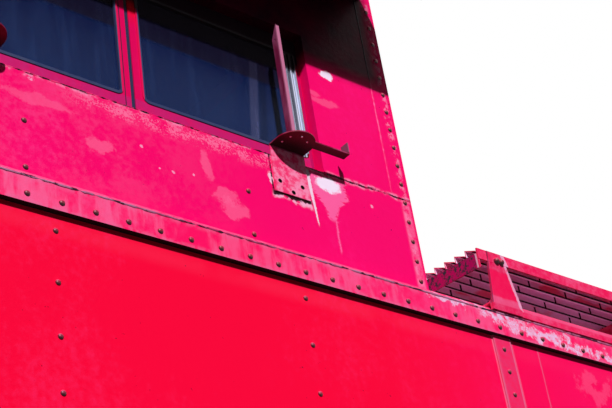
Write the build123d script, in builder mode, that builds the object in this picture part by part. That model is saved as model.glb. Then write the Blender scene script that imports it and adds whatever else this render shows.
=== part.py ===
from build123d import *
import os

# A steel cupola caboose in millimetres. X runs along the car, the side at -Y is the left side,
# Z is up and Z = 0 is the lowest point of the wheel flanges. The origin is under the middle.

# Wheels, axles and trucks
tread_radius = 419
flange_radius = 444
back_to_back = 1353
rim_width = 140
journal_radius = 72
journal_length = 175
journal_spacing = 1956
bearing_clearance = 0.3
truck_spread = 6100
wheelbase = 1676
centre_plate_z = 680
centre_plate_radius = 150
centre_pin_radius = 25
side_bearing_y = 635
side_bearing_gap = 6
side_frame_width = 120
side_frame_web = 36
side_frame_rim = 34
bolster_width = 250

# Underframe
coupler_z = 901
sill_half_width = 180
sill_bottom = 740
sill_top = 1060
sill_web = 18
deck_underside = 1190
deck_thickness = 35
platform_length = 760
end_sill_thickness = 60
coupler_reach = 473

# Body
bay = 825
bay_count = 11
side_y = 1345
wall = 60
side_bottom = 1040
belt_row_z = 3125
belt_below_row = 26
belt_above_row = 56
belt_bevel = 23
belt_proud = 20
seam_strip_width = 80
seam_strip_thickness = 5
roof_thickness = 40
roof_rise = 130
roof_overhang = 752

# Cupola
cupola_x = -930
cupola_length = 2100
cupola_eave_above_row = 1371
cupola_roof_rise = 110
cupola_side_overhang = 40
cupola_end_overhang = 40
opening_half_length = 678.5
opening_sill_above_row = 417
opening_height = 558
window_recess = 40
unit_thickness = 20
unit_gap = 14
awning_reach = 285
awning_drop = 221
awning_below_eave = 91
awning_inset = 51
awning_thickness = 5

# Roof walks
walk_width = 610
walk_slope = 0.1
bearer_above_row = 253
walk_bar_above_row = 272
walk_outside_belt = 28
walk_gap_to_cupola = 219
walk_bar_height = 40
walk_bar_thickness = 6
bearer_height = 53
slat_pitch = 49
slat_depth = 46
slat_tip = 30
slat_lip = 8
slat_thickness = 3
bracket_pitch = 825
bracket_foot_width = 140
bracket_top_width = 73

# Wind wings beside the cupola windows
quadrant_plate = 4
quadrant_width = 135
quadrant_reach = 107.5
quadrant_above_row = 452
quadrant_inset = 80
quadrant_leg = 170
wing_height = 402
wing_width = 26

# Openings in the body
door_width = 680
door_height = 1855
door_leaf = 40
door_gap = 5
body_window_width = 610
body_window_height = 650
body_window_sill = 1830
end_window_width = 420
end_window_y = 760
glass = 6
hinge_radius = 9
hinge_pin_radius = 4

# Worked out from the sizes above
axle_z = flange_radius
truck_x = truck_spread / 2
floor_z = deck_underside + deck_thickness
body_half = bay * bay_count / 2
inner_y = side_y - wall
inner_x = body_half - wall
end_sill_face = body_half + platform_length
end_sill_back = end_sill_face - end_sill_thickness
pulling_face = end_sill_face + coupler_reach
belt_y = side_y + belt_proud
belt_top_z = belt_row_z + belt_above_row
roof_edge_z = belt_top_z + belt_bevel
plate_z = roof_edge_z - roof_thickness
roof_end = body_half + roof_overhang
cupola_half = cupola_length / 2
cupola_eave_z = belt_row_z + cupola_eave_above_row
opening_sill_z = belt_row_z + opening_sill_above_row
opening_top_z = opening_sill_z + opening_height
unit_y = side_y - window_recess
columns = [bay * n - body_half for n in range(bay_count + 1)]
door_top_z = floor_z + door_height

os.makedirs("parts", exist_ok=True)


def save(piece, name):
    piece.part.label = name
    export_step(piece.part, f"parts/{name}.step")


def block(x, y, z, mode=Mode.ADD):
    """A box between two values of x, two of y and two of z."""
    with Locations(((x[0] + x[1]) / 2, (y[0] + y[1]) / 2, (z[0] + z[1]) / 2)):
        Box(abs(x[1] - x[0]), abs(y[1] - y[0]), abs(z[1] - z[0]), mode=mode)


def rod(start, end, radius, mode=Mode.ADD):
    """A round bar from one point to another."""
    run = Vector(*end) - Vector(*start)
    with Locations(Plane(origin=Vector(*start), z_dir=run).location):
        Cylinder(radius, run.length, align=(Align.CENTER, Align.CENTER, Align.MIN), mode=mode)


def bar(start, end, width):
    """An eight-sided bar from one point to another, for rails, rungs and spokes."""
    run = Vector(*end) - Vector(*start)
    with BuildSketch(Plane(origin=Vector(*start), z_dir=run)) as section:
        RegularPolygon(width / 2, 8, major_radius=False, rotation=22.5)
    extrude(section.sketch, amount=run.length)


def along_y(points, y):
    """An outline of (x, z) points, extruded from the lower y to the higher."""
    with BuildSketch(Plane.XZ.offset(-max(y))) as outline:
        Polygon(*points, align=None)
    extrude(outline.sketch, amount=max(y) - min(y))


def along_x(points, x, mode=Mode.ADD):
    """An outline of (y, z) points, extruded from the lower x to the higher."""
    with BuildSketch(Plane.YZ.offset(min(x))) as outline:
        Polygon(*points, align=None)
    extrude(outline.sketch, amount=max(x) - min(x), mode=mode)


def arched(half_width, low_z, eave_z, crown_z, x):
    """A panel with a flat foot and an arched head, between two values of x."""
    with BuildSketch(Plane.YZ.offset(min(x))) as outline:
        with BuildLine():
            Polyline((-half_width, eave_z), (-half_width, low_z), (half_width, low_z), (half_width, eave_z))
            ThreePointArc((half_width, eave_z), (0, crown_z), (-half_width, eave_z))
        make_face()
    extrude(outline.sketch, amount=max(x) - min(x))


def roof_section(edge_y, seat_y, under_z, rise, thickness, inner_rise, x):
    """A roof sheet of even arch that rests on a flat seat at each side."""
    with BuildSketch(Plane.YZ.offset(min(x))) as outline:
        with BuildLine():
            Polyline((-seat_y, under_z), (-edge_y, under_z), (-edge_y, under_z + thickness))
            ThreePointArc(
                (-edge_y, under_z + thickness), (0, under_z + thickness + rise), (edge_y, under_z + thickness)
            )
            Polyline((edge_y, under_z + thickness), (edge_y, under_z), (seat_y, under_z))
            ThreePointArc((seat_y, under_z), (0, under_z + inner_rise), (-seat_y, under_z))
        make_face()
    extrude(outline.sketch, amount=max(x) - min(x))


def roof_top_z(y):
    """Height of the main roof's upper face, as a parabola close to its arc."""
    return roof_edge_z + roof_rise * (1 - (y / side_y) ** 2)


def pane_in_side(window, y, corner=0, mode=Mode.SUBTRACT):
    """A (middle x, low z, width, height) window, as a hole or a pane in a wall that lies along X."""
    middle, low, width, height = window
    with BuildSketch(Plane.XZ.offset(-max(y))) as shape:
        with Locations((middle, low + height / 2)):
            if corner:
                RectangleRounded(width, height, corner)
            else:
                Rectangle(width, height)
    extrude(shape.sketch, amount=max(y) - min(y), mode=mode)


def pane_in_end(window, x, mode=Mode.SUBTRACT):
    """A (middle y, low z, width, height) window, as a hole or a pane in a wall that lies along Y."""
    middle, low, width, height = window
    block(x, (middle - width / 2, middle + width / 2), (low, low + height), mode=mode)


def inside_frame(window, band):
    """The light left in a window by a frame of that band."""
    middle, low, width, height = window
    return middle, low + band, width - 2 * band, height - 2 * band


def frame_in_side(window, band, y):
    """A square window frame in a wall that lies along X."""
    with BuildSketch(Plane.XZ.offset(-max(y))) as ring:
        for (middle, low, width, height), mode in (
            (window, Mode.ADD), (inside_frame(window, band), Mode.SUBTRACT)
        ):
            with Locations((middle, low + height / 2)):
                Rectangle(width, height, mode=mode)
    extrude(ring.sketch, amount=max(y) - min(y))


def frame_in_end(window, band, x):
    """A square window frame in a wall that lies along Y."""
    with BuildSketch(Plane.YZ.offset(min(x))) as ring:
        for (middle, low, width, height), mode in (
            (window, Mode.ADD), (inside_frame(window, band), Mode.SUBTRACT)
        ):
            with Locations((middle, low + height / 2)):
                Rectangle(width, height, mode=mode)
    extrude(ring.sketch, amount=max(x) - min(x))


# Wheelsets. Half of the turned outline: columns are radius and distance from the car's middle line.
flange_back = back_to_back / 2
rim_face = flange_back + rim_width
journal_end = (journal_spacing + journal_length) / 2
journal_start = journal_end - journal_length
axle_radius = 84
hub_radius = 128
hub_face = rim_face + 8
rim_inside = 352
web_face = flange_back + 52
flange_tip = 18
flange_throat = 36
wheel_outline = [
    (axle_radius, 0),
    (axle_radius, flange_back),
    (flange_radius, flange_back),
    (flange_radius, flange_back + flange_tip),
    (tread_radius, flange_back + flange_throat),
    (tread_radius, rim_face),
    (rim_inside, rim_face),
    (rim_inside, web_face),
    (hub_radius, web_face),
    (hub_radius, hub_face),
    (journal_radius, hub_face),
    (journal_radius, journal_end),
    (0, journal_end),
]
for end, truck in (("a", -1), ("b", 1)):
    for number, axle in (("1", -1), ("2", 1)):
        axle_x = truck * truck_x + axle * wheelbase / 2
        mirrored = [(radius, -across) for radius, across in reversed(wheel_outline[1:])]
        with BuildPart() as wheelset:
            with BuildSketch(Plane(origin=(axle_x, 0, axle_z), x_dir=(1, 0, 0), z_dir=(0, 0, 1))):
                Polygon(*mirrored, *wheel_outline, align=None)
            revolve(axis=Axis((axle_x, 0, axle_z), (0, 1, 0)))
        save(wheelset, f"wheelset_{end}{number}")

# Truck side frames: a cast web inside a rim, with a window for bolster and spring, and a journal box
# round each axle end. Columns of both outlines are x from the truck's middle and z.
side_frame_y = journal_spacing / 2
spring_seat_z = 290
window_half = 165
side_frame_outline = [
    (-955, 350), (-955, 545), (-700, 585), (-400, 668), (400, 668), (700, 585), (955, 545),
    (955, 350), (700, 350), (400, 205), (-400, 205), (-700, 350),
]
side_frame_opening = [(265, 300), (265, 560), (430, 560), (610, 500), (610, 410), (430, 300)]
box_half_length = 118
box_low_z = axle_z - 112
box_high_z = axle_z + 108
box_outer_y = journal_end + 26
for end, truck in (("a", -1), ("b", 1)):
    middle = truck * truck_x
    with BuildPart() as truck_sides:
        near_y = -side_frame_y + side_frame_width / 2
        face = Plane(origin=(middle, near_y, 0), x_dir=(1, 0, 0), z_dir=(0, -1, 0))
        web_plane = face.offset((side_frame_width - side_frame_web) / 2)
        with BuildSketch(face):
            Polygon(*side_frame_outline, align=None)
            offset(amount=-side_frame_rim, kind=Kind.INTERSECTION, mode=Mode.SUBTRACT)
        extrude(amount=side_frame_width)
        with BuildSketch(web_plane):
            Polygon(*side_frame_outline, align=None)
            for hand in (-1, 1):
                with BuildSketch(mode=Mode.SUBTRACT):
                    Polygon(*[(hand * x, z) for x, z in side_frame_opening], align=None)
        extrude(amount=side_frame_web)
        # The window's two columns and the spring seat below it
        for hand in (-1, 1):
            block(
                (middle + hand * window_half, middle + hand * (window_half + 40)),
                (-side_frame_y - side_frame_width / 2, -side_frame_y + side_frame_width / 2),
                (235, 640),
            )
        block(
            (middle - window_half - 40, middle + window_half + 40),
            (-side_frame_y - side_frame_width / 2, -side_frame_y + side_frame_width / 2),
            (235, spring_seat_z),
        )
        block(
            (middle - window_half, middle + window_half),
            (-side_frame_y - side_frame_width, -side_frame_y + side_frame_width),
            (spring_seat_z, 630),
            mode=Mode.SUBTRACT,
        )
        for axle in (-1, 1):
            axle_x = middle + axle * wheelbase / 2
            block(
                (axle_x - box_half_length, axle_x + box_half_length),
                (-box_outer_y, -journal_start - 6),
                (box_low_z, box_high_z),
            )
            block(
                (axle_x - box_half_length + 22, axle_x + box_half_length - 22),
                (-box_outer_y - 14, -box_outer_y),
                (box_low_z + 24, box_high_z - 30),
            )
            # The box is hollow round the journal, which its brass holds from above
            journal_room = journal_radius + bearing_clearance
            block(
                (axle_x - journal_room, axle_x + journal_room),
                (-journal_end - bearing_clearance, -journal_start + 6),
                (axle_z - journal_room, axle_z + journal_room),
                mode=Mode.SUBTRACT,
            )
        mirror(about=Plane.XZ)
    save(truck_sides, f"truck_sides_{end}")

    # Truck bolster: a beam through both windows, with the centre bowl and the side bearings on it
    bolster_low_z = 470
    bolster_end_z = 590
    bolster_top_z = centre_plate_z - 30
    bolster_end_y = side_frame_y + side_frame_width / 2 + 10
    with BuildPart() as truck_bolster:
        along_x(
            [
                (-bolster_end_y, bolster_low_z), (-bolster_end_y, bolster_end_z), (-800, bolster_end_z),
                (-700, bolster_top_z), (700, bolster_top_z), (800, bolster_end_z),
                (bolster_end_y, bolster_end_z), (bolster_end_y, bolster_low_z), (780, bolster_low_z),
                (620, bolster_low_z - 40), (-620, bolster_low_z - 40), (-780, bolster_low_z),
            ],
            (middle - bolster_width / 2, middle + bolster_width / 2),
        )
        with Locations((middle, 0, bolster_top_z)):
            Cylinder(
                centre_plate_radius + 22, centre_plate_z + 18 - bolster_top_z,
                align=(Align.CENTER, Align.CENTER, Align.MIN),
            )
        with Locations((middle, 0, centre_plate_z)):
            Cylinder(
                centre_plate_radius + 3, 18,
                align=(Align.CENTER, Align.CENTER, Align.MIN), mode=Mode.SUBTRACT,
            )
        rod(
            (middle, 0, bolster_low_z), (middle, 0, centre_plate_z),
            centre_pin_radius + bearing_clearance, mode=Mode.SUBTRACT,
        )
        for hand in (-1, 1):
            block(
                (middle - 90, middle + 90),
                (hand * side_bearing_y - 45, hand * side_bearing_y + 45),
                (bolster_top_z - 10, centre_plate_z),
            )
    save(truck_bolster, f"truck_bolster_{end}")

    # Full elliptic springs: two opposed packs of curved leaves, shorter towards the middle bands
    leaf_thickness = 11
    spring_width = 116
    band_half_length = 34
    band_depth = 60
    eye_width = 26
    spring_half_height = (bolster_low_z - spring_seat_z) / 2
    spring_middle_z = spring_seat_z + spring_half_height
    spring_near_y = -side_frame_y + spring_width / 2
    main_leaf = 150
    leaves = [(main_leaf, 0), (118, 1), (82, 2)]  # half length, leaf number counted from the inside
    with BuildPart() as truck_springs:
        face = Plane(origin=(middle, spring_near_y, 0), x_dir=(1, 0, 0), z_dir=(0, -1, 0))
        for up in (-1, 1):
            for half_length, number in leaves:
                crown = spring_half_height - 18 - leaf_thickness * (2 - number)
                drop = up * (crown - 6) * (half_length / main_leaf) ** 2
                inner = spring_middle_z + up * (crown - leaf_thickness)
                outer = spring_middle_z + up * crown
                with BuildSketch(face):
                    with BuildLine():
                        ThreePointArc((-half_length, outer - drop), (0, outer), (half_length, outer - drop))
                        Line((half_length, outer - drop), (half_length, inner - drop))
                        ThreePointArc((half_length, inner - drop), (0, inner), (-half_length, inner - drop))
                        Line((-half_length, inner - drop), (-half_length, outer - drop))
                    make_face()
                extrude(amount=spring_width)
            band_end = spring_middle_z + up * spring_half_height
            block(
                (middle - band_half_length, middle + band_half_length),
                (spring_near_y - spring_width, spring_near_y), (band_end - up * band_depth, band_end),
            )
        for hand in (-1, 1):
            eye_x = middle + hand * main_leaf
            bar(
                (eye_x, spring_near_y - spring_width, spring_middle_z),
                (eye_x, spring_near_y, spring_middle_z), eye_width,
            )
        mirror(about=Plane.XZ)
    save(truck_springs, f"truck_springs_{end}")

# Underframe: the centre sill between the body's ends with the body bolsters, floor beams and side sills,
# welded into one
sill_foot = 50
sill_plate = 15
sill_inside = sill_half_width - sill_web
sill_section = [
    (-sill_half_width - sill_foot, sill_bottom), (-sill_half_width - sill_foot, sill_bottom + sill_plate),
    (-sill_half_width, sill_bottom + sill_plate), (-sill_half_width, sill_top),
    (sill_half_width, sill_top), (sill_half_width, sill_bottom + sill_plate),
    (sill_half_width + sill_foot, sill_bottom + sill_plate), (sill_half_width + sill_foot, sill_bottom),
    (sill_inside, sill_bottom), (sill_inside, sill_top - sill_plate),
    (-sill_inside, sill_top - sill_plate), (-sill_inside, sill_bottom),
]
bolster_half_length = 175
bolster_end_depth = 90
beam_half = 25
side_sill_flange = 60
side_sill_plate = 12
with BuildPart() as underframe:
    along_x(sill_section, (-body_half, body_half))
    for hand in (-1, 1):
        bolster_x = hand * truck_x
        along_x(
            [
                (-inner_y, sill_top), (inner_y, sill_top), (inner_y, sill_top - bolster_end_depth),
                (sill_half_width, sill_bottom), (-sill_half_width, sill_bottom),
                (-inner_y, sill_top - bolster_end_depth),
            ],
            (bolster_x - bolster_half_length, bolster_x + bolster_half_length),
        )
        rod((bolster_x, 0, centre_plate_z), (bolster_x, 0, sill_bottom + 5), centre_plate_radius)
        rod((bolster_x, 0, centre_plate_z - 90), (bolster_x, 0, sill_bottom), centre_pin_radius)
        for side in (-1, 1):
            block(
                (bolster_x - 110, bolster_x + 110),
                (side * side_bearing_y - 40, side * side_bearing_y + 40),
                (centre_plate_z + side_bearing_gap, sill_top - 60),
            )
        block((hand * inner_x, hand * body_half), (-inner_y, inner_y), (sill_top, deck_underside))
    for column in columns[1:-1]:
        block((column - beam_half, column + beam_half), (-inner_y, inner_y), (sill_top, deck_underside))
    for side in (-1, 1):
        flange_y = side * (inner_y - side_sill_flange)
        web_y = side * (inner_y - side_sill_plate)
        along_x(
            [
                (side * inner_y, sill_top), (flange_y, sill_top), (flange_y, sill_top + side_sill_plate),
                (web_y, sill_top + side_sill_plate), (web_y, deck_underside - side_sill_plate),
                (flange_y, deck_underside - side_sill_plate), (flange_y, deck_underside),
                (side * inner_y, deck_underside),
            ],
            (-inner_x, inner_x),
        )
save(underframe, "underframe")

# Draft sills: the centre sill's lengths under the platforms, each with a ledge for the deck's middle, and
# a deck beam on each side of them
ledge_half = 60
deck_beam_y = (640, 690)
with BuildPart() as draft_sills:
    for hand in (-1, 1):
        under_deck = (hand * body_half, hand * end_sill_back)
        along_x(sill_section, under_deck)
        block(under_deck, (-ledge_half, ledge_half), (sill_top - 5, deck_underside))
        for side in (-1, 1):
            block(under_deck, [side * y for y in deck_beam_y], (sill_top, deck_underside))
save(draft_sills, "draft_sills")

# End sills, each with its striker, through which the coupler's shank passes
end_sill_half = 1300
end_sill_low_z = sill_top - 20
striker_low_z = 770
shank_room = 130
shank_depth = 70
with BuildPart() as end_sills:
    for hand in (-1, 1):
        along_x(
            [
                (-end_sill_half, end_sill_low_z), (-end_sill_half, deck_underside),
                (end_sill_half, deck_underside), (end_sill_half, end_sill_low_z),
                (420, end_sill_low_z), (260, striker_low_z), (-260, striker_low_z), (-420, end_sill_low_z),
            ],
            (hand * end_sill_back, hand * end_sill_face),
        )
        block(
            (hand * (end_sill_back - 5), hand * (end_sill_face + 5)),
            (-shank_room, shank_room), (coupler_z - shank_depth, coupler_z + 110),
            mode=Mode.SUBTRACT,
        )
save(end_sills, "end_sills")

with BuildPart() as floor:
    block((-inner_x, inner_x), (-inner_y, inner_y), (deck_underside, floor_z))
save(floor, "floor")

# Platforms: a deck at each end and a box step at each corner
step_y = 700
tread_thickness = 30
stringer = 8
step_front = 8
step_rise = 250
treads = [(700, 965, 960), (900, 715, 1130), (1090, 465, side_y)]  # inner y, z, outer y
stringer_outline = [
    (step_y, deck_underside), (side_y, deck_underside), (side_y, 430), (1090, 430), (880, 680), (step_y, 930),
]
with BuildPart() as platforms:
    for hand in (-1, 1):
        block((hand * body_half, hand * end_sill_face), (-step_y, step_y), (deck_underside, floor_z))
        for side in (-1, 1):
            for near, far in (
                (body_half, body_half + stringer),
                (end_sill_back - stringer, end_sill_back),
            ):
                along_x([(side * y, z) for y, z in stringer_outline], (hand * near, hand * far))
            for inner, level, outer in treads:
                well = (hand * (body_half + 2), hand * (end_sill_back - 2))
                block(well, (side * inner, side * outer), (level - tread_thickness, level))
                riser = (level - tread_thickness, level + step_rise)
                block(well, (side * inner, side * (inner + step_front)), riser)
            block(
                (hand * body_half, hand * end_sill_back), (side * (step_y - 5), side * (step_y + step_front)),
                (930, floor_z),
            )
save(platforms, "platforms")

# Side walls: whole thickness of sheet, posts and lining, with the riveted seam strips outside
window_bays = [1, 7, 9]
body_windows = [
    (columns[n] + bay / 2, body_window_sill, body_window_width, body_window_height) for n in window_bays
]
seam_columns = [3, 6, 9]
foot_angle_proud = 8
foot_angle_height = 75
for name, side in (("left", -1), ("right", 1)):
    with BuildPart() as side_wall:
        block((-body_half, body_half), (side * inner_y, side * side_y), (side_bottom, plate_z))
        for window in body_windows:
            pane_in_side(window, (side * inner_y, side * side_y))
        for n in seam_columns:
            block(
                (columns[n] - seam_strip_width / 2, columns[n] + seam_strip_width / 2),
                (side * (side_y - 1), side * (side_y + seam_strip_thickness)),
                (side_bottom, belt_row_z - belt_below_row),
            )
        # Bottom angle of the side
        block(
            (-body_half, body_half), (side * (side_y - 1), side * (side_y + foot_angle_proud)),
            (side_bottom, side_bottom + foot_angle_height),
        )
    save(side_wall, f"side_{name}")

# Letterboards: the riveted plate under the eave with a bevelled bead along its top
with BuildPart() as letterboards:
    for side in (-1, 1):
        along_x(
            [
                (side * side_y, belt_row_z - belt_below_row), (side * belt_y, belt_row_z - belt_below_row),
                (side * belt_y, belt_top_z), (side * (side_y + 2), roof_edge_z), (side * side_y, roof_edge_z),
            ],
            (-body_half, body_half),
        )
save(letterboards, "letterboards")

# End walls with a doorway, two windows and the fixed halves of the door's hinges
hinge_x = inner_x - hinge_radius - 0.5
hinge_y = -door_width / 2
hinge_levels = [floor_z + 300, floor_z + 1500]
knuckle = 60
knuckle_gap = 0.5
strap = 48
for end, hand in (("a", -1), ("b", 1)):
    with BuildPart() as end_wall:
        arched(inner_y, deck_underside, plate_z, plate_z + roof_rise, (hand * inner_x, hand * body_half))
        block(
            (hand * (inner_x - 1), hand * (body_half + 1)), (-door_width / 2, door_width / 2),
            (floor_z, door_top_z), mode=Mode.SUBTRACT,
        )
        for side in (-1, 1):
            pane_in_end(
                (side * end_window_y, body_window_sill, end_window_width, body_window_height),
                (hand * inner_x, hand * body_half),
            )
            # Door stop on each jamb
            block(
                (hand * (body_half - 9), hand * body_half),
                (side * (door_width / 2 - 20), side * (door_width / 2)), (floor_z, door_top_z),
            )
        for level in hinge_levels:
            low = level - knuckle_gap - knuckle
            high = level - knuckle_gap
            rod((hand * hinge_x, hand * hinge_y, low), (hand * hinge_x, hand * hinge_y, high), hinge_radius)
            block(
                (hand * (hinge_x - 2), hand * (inner_x + 0.5)),
                (hand * (hinge_y - strap), hand * (hinge_y - 2)),
                (low, high),
            )
            rod(
                (hand * hinge_x, hand * hinge_y, low), (hand * hinge_x, hand * hinge_y, level + knuckle + 5),
                hinge_pin_radius,
            )
    save(end_wall, f"end_wall_{end}")

    # Door leaf, hung inside on two lift-off hinges, with a window and a lever handle on both faces
    leaf_x = inner_x + 5
    door_window = (0, floor_z + 950, 400, 620)
    handle_y = hand * 270
    handle_z = floor_z + 880
    with BuildPart() as door:
        block(
            (hand * leaf_x, hand * (leaf_x + door_leaf)),
            (-door_width / 2 + door_gap, door_width / 2 - door_gap),
            (floor_z + door_gap, door_top_z - door_gap),
        )
        pane_in_end(door_window, (hand * leaf_x, hand * (leaf_x + door_leaf)))
        for low, high in ((floor_z + 130, floor_z + 440), (floor_z + 530, floor_z + 840)):
            block(
                (hand * (leaf_x + door_leaf - 8), hand * (leaf_x + door_leaf + 1)), (-230, 230), (low, high),
                mode=Mode.SUBTRACT,
            )
        for level in hinge_levels:
            centre = (hand * hinge_x, hand * hinge_y, level)
            top = (hand * hinge_x, hand * hinge_y, level + knuckle)
            rod(centre, top, hinge_radius)
            block(
                (hand * (hinge_x - 1), hand * (leaf_x + 0.5)),
                (hand * (hinge_y + 6), hand * (hinge_y + strap)), (level, level + knuckle),
            )
            rod(
                (centre[0], centre[1], level - 1), (top[0], top[1], top[2] + 1),
                hinge_pin_radius + bearing_clearance, mode=Mode.SUBTRACT,
            )
        for face_x, out in ((leaf_x, -1), (leaf_x + door_leaf, 1)):
            spindle = hand * (face_x - out * 2)
            tip = hand * (face_x + out * 40)
            bar((spindle, handle_y, handle_z), (tip, handle_y, handle_z), 22)
            bar((tip, handle_y + hand * 11, handle_z), (tip, handle_y - hand * 110, handle_z), 20)
    save(door, f"door_{end}")
    with BuildPart() as door_glass:
        pane_x = hand * (leaf_x + door_leaf / 2)
        pane_in_end(door_window, (pane_x - glass / 2, pane_x + glass / 2), Mode.ADD)
    save(door_glass, f"door_glass_{end}")

# Window frames and panes of the body, in the side walls and in the end walls
frame_band = 38
frame_depth = 30
frame_proud = 4
pane_setback = 19
meeting_rail = 28
end_windows = [
    (side * end_window_y, body_window_sill, end_window_width, body_window_height) for side in (-1, 1)
]
with BuildPart() as body_window_frames:
    for side in (-1, 1):
        for window in body_windows:
            frame_in_side(window, frame_band, (side * (side_y - frame_depth), side * (side_y + frame_proud)))
            middle, low, width, height = window
            block(
                (middle - width / 2 + frame_band - 2, middle + width / 2 - frame_band + 2),
                (side * (side_y - pane_setback + glass), side * (side_y - 2)),
                (low + (height - meeting_rail) / 2, low + (height + meeting_rail) / 2),
            )
    for hand in (-1, 1):
        frame_x = (hand * (body_half - frame_depth), hand * (body_half + frame_proud))
        for window in end_windows:
            frame_in_end(window, frame_band, frame_x)
save(body_window_frames, "body_window_frames")

with BuildPart() as body_window_glass:
    for side in (-1, 1):
        for window in body_windows:
            pane_in_side(
                inside_frame(window, frame_band),
                (side * (side_y - pane_setback), side * (side_y - pane_setback + glass)), mode=Mode.ADD,
            )
    for hand in (-1, 1):
        for window in end_windows:
            pane_in_end(
                inside_frame(window, frame_band),
                (hand * (body_half - pane_setback), hand * (body_half - pane_setback + glass)), Mode.ADD,
            )
save(body_window_glass, "body_window_glass")

# Main roof, in two lengths before and behind the cupola, with a hole for the stove pipe
pipe_radius = 75
stove_x = 2700
stove_y = 640
with BuildPart() as roof:
    for span in ((-roof_end, cupola_x - cupola_half), (cupola_x + cupola_half, roof_end)):
        roof_section(side_y, inner_y, plate_z, roof_rise, roof_thickness, roof_rise, span)
    rod((stove_x, stove_y, plate_z), (stove_x, stove_y, plate_z + 300), pipe_radius + 0.3, mode=Mode.SUBTRACT)
save(roof, "roof")

# Cupola sides, flush with the body, each with one long window opening
for name, side in (("left", -1), ("right", 1)):
    with BuildPart() as cupola_side:
        block(
            (cupola_x - cupola_half, cupola_x + cupola_half), (side * inner_y, side * side_y),
            (plate_z, cupola_eave_z),
        )
        block(
            (cupola_x - opening_half_length, cupola_x + opening_half_length),
            (side * (inner_y - 1), side * (side_y + 1)), (opening_sill_z, opening_top_z),
            mode=Mode.SUBTRACT,
        )
    save(cupola_side, f"cupola_side_{name}")

# Cupola end walls: three windows over each end of the main roof
cupola_end_sill = opening_sill_z + 60
cupola_end_height = 430
cupola_end_band = 24
cupola_end_lights = [(-820, 560), (0, 700), (820, 560)]  # middle y, width
cupola_end_windows = [
    (middle, cupola_end_sill, width, cupola_end_height) for middle, width in cupola_end_lights
]
cupola_crown = cupola_eave_z + cupola_roof_rise - 10
cupola_end_spans = [
    (cupola_x - cupola_half, cupola_x - cupola_half + wall, -1),
    (cupola_x + cupola_half - wall, cupola_x + cupola_half, 1),
]  # low x, high x, outward hand
with BuildPart() as cupola_ends:
    for low, high, hand in cupola_end_spans:
        arched(inner_y, plate_z, cupola_eave_z, cupola_crown, (low, high))
        for window in cupola_end_windows:
            pane_in_end(window, (low, high))
save(cupola_ends, "cupola_ends")

with BuildPart() as cupola_roof:
    roof_section(
        side_y + cupola_side_overhang, inner_y, cupola_eave_z, cupola_roof_rise, roof_thickness,
        cupola_crown - cupola_eave_z,
        (cupola_x - cupola_half - cupola_end_overhang, cupola_x + cupola_half + cupola_end_overhang),
    )
save(cupola_roof, "cupola_roof")

# Sheet awnings over the cupola's side windows, bowed outward, with a flange on the wall
awning_top_z = cupola_eave_z - awning_below_eave
with BuildPart() as awnings:
    for side in (-1, 1):
        with BuildSketch(Plane.YZ.offset(cupola_x - cupola_half + awning_inset)) as section:
            with BuildLine():
                ThreePointArc(
                    (side * side_y, awning_top_z),
                    (side * (side_y + awning_reach * 0.56), awning_top_z - awning_drop * 0.33),
                    (side * (side_y + awning_reach), awning_top_z - awning_drop),
                )
                Line(
                    (side * (side_y + awning_reach), awning_top_z - awning_drop),
                    (side * (side_y + awning_reach - awning_thickness), awning_top_z - awning_drop),
                )
                ThreePointArc(
                    (side * (side_y + awning_reach - awning_thickness), awning_top_z - awning_drop),
                    (side * (side_y + awning_reach * 0.56 - 3), awning_top_z - awning_drop * 0.33 - 5),
                    (side * side_y, awning_top_z - awning_thickness),
                )
                Line((side * side_y, awning_top_z - awning_thickness), (side * side_y, awning_top_z))
            make_face()
        extrude(section.sketch, amount=cupola_length - 2 * awning_inset)
        block(
            (cupola_x - cupola_half + awning_inset, cupola_x + cupola_half - awning_inset),
            (side * side_y, side * (side_y + 4)), (awning_top_z - 5, awning_top_z + 30),
        )
save(awnings, "awnings")

# Cupola side windows: two recessed steel units a side, an aluminium sliding sash in each
unit_post_band = 26
unit_jamb_band = 13
unit_sill_band = 71
unit_head_band = 60
sash_band = 10
track_width = 57
corner = 25
pane_low_z = opening_sill_z + unit_sill_band
pane_high_z = opening_top_z - unit_head_band
pane_near = unit_gap / 2 + unit_post_band
pane_far = opening_half_length - unit_jamb_band
light_near = pane_near + sash_band
light_far = pane_far - track_width
sashes = {
    hand: (
        cupola_x + hand * (pane_near + pane_far) / 2, pane_low_z,
        pane_far - pane_near, pane_high_z - pane_low_z,
    )
    for hand in (-1, 1)
}
lights = {
    hand: (
        cupola_x + hand * (light_near + light_far) / 2, pane_low_z + sash_band, light_far - light_near,
        pane_high_z - pane_low_z - 2 * sash_band,
    )
    for hand in (-1, 1)
}
with BuildPart() as cupola_window_units:
    for side in (-1, 1):
        for hand in (-1, 1):
            block(
                (cupola_x + hand * unit_gap / 2, cupola_x + hand * opening_half_length),
                (side * (unit_y - unit_thickness), side * unit_y), (opening_sill_z, opening_top_z),
            )
            pane_in_side(sashes[hand], (side * (unit_y - unit_thickness), side * unit_y), corner)
save(cupola_window_units, "cupola_window_units")

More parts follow.
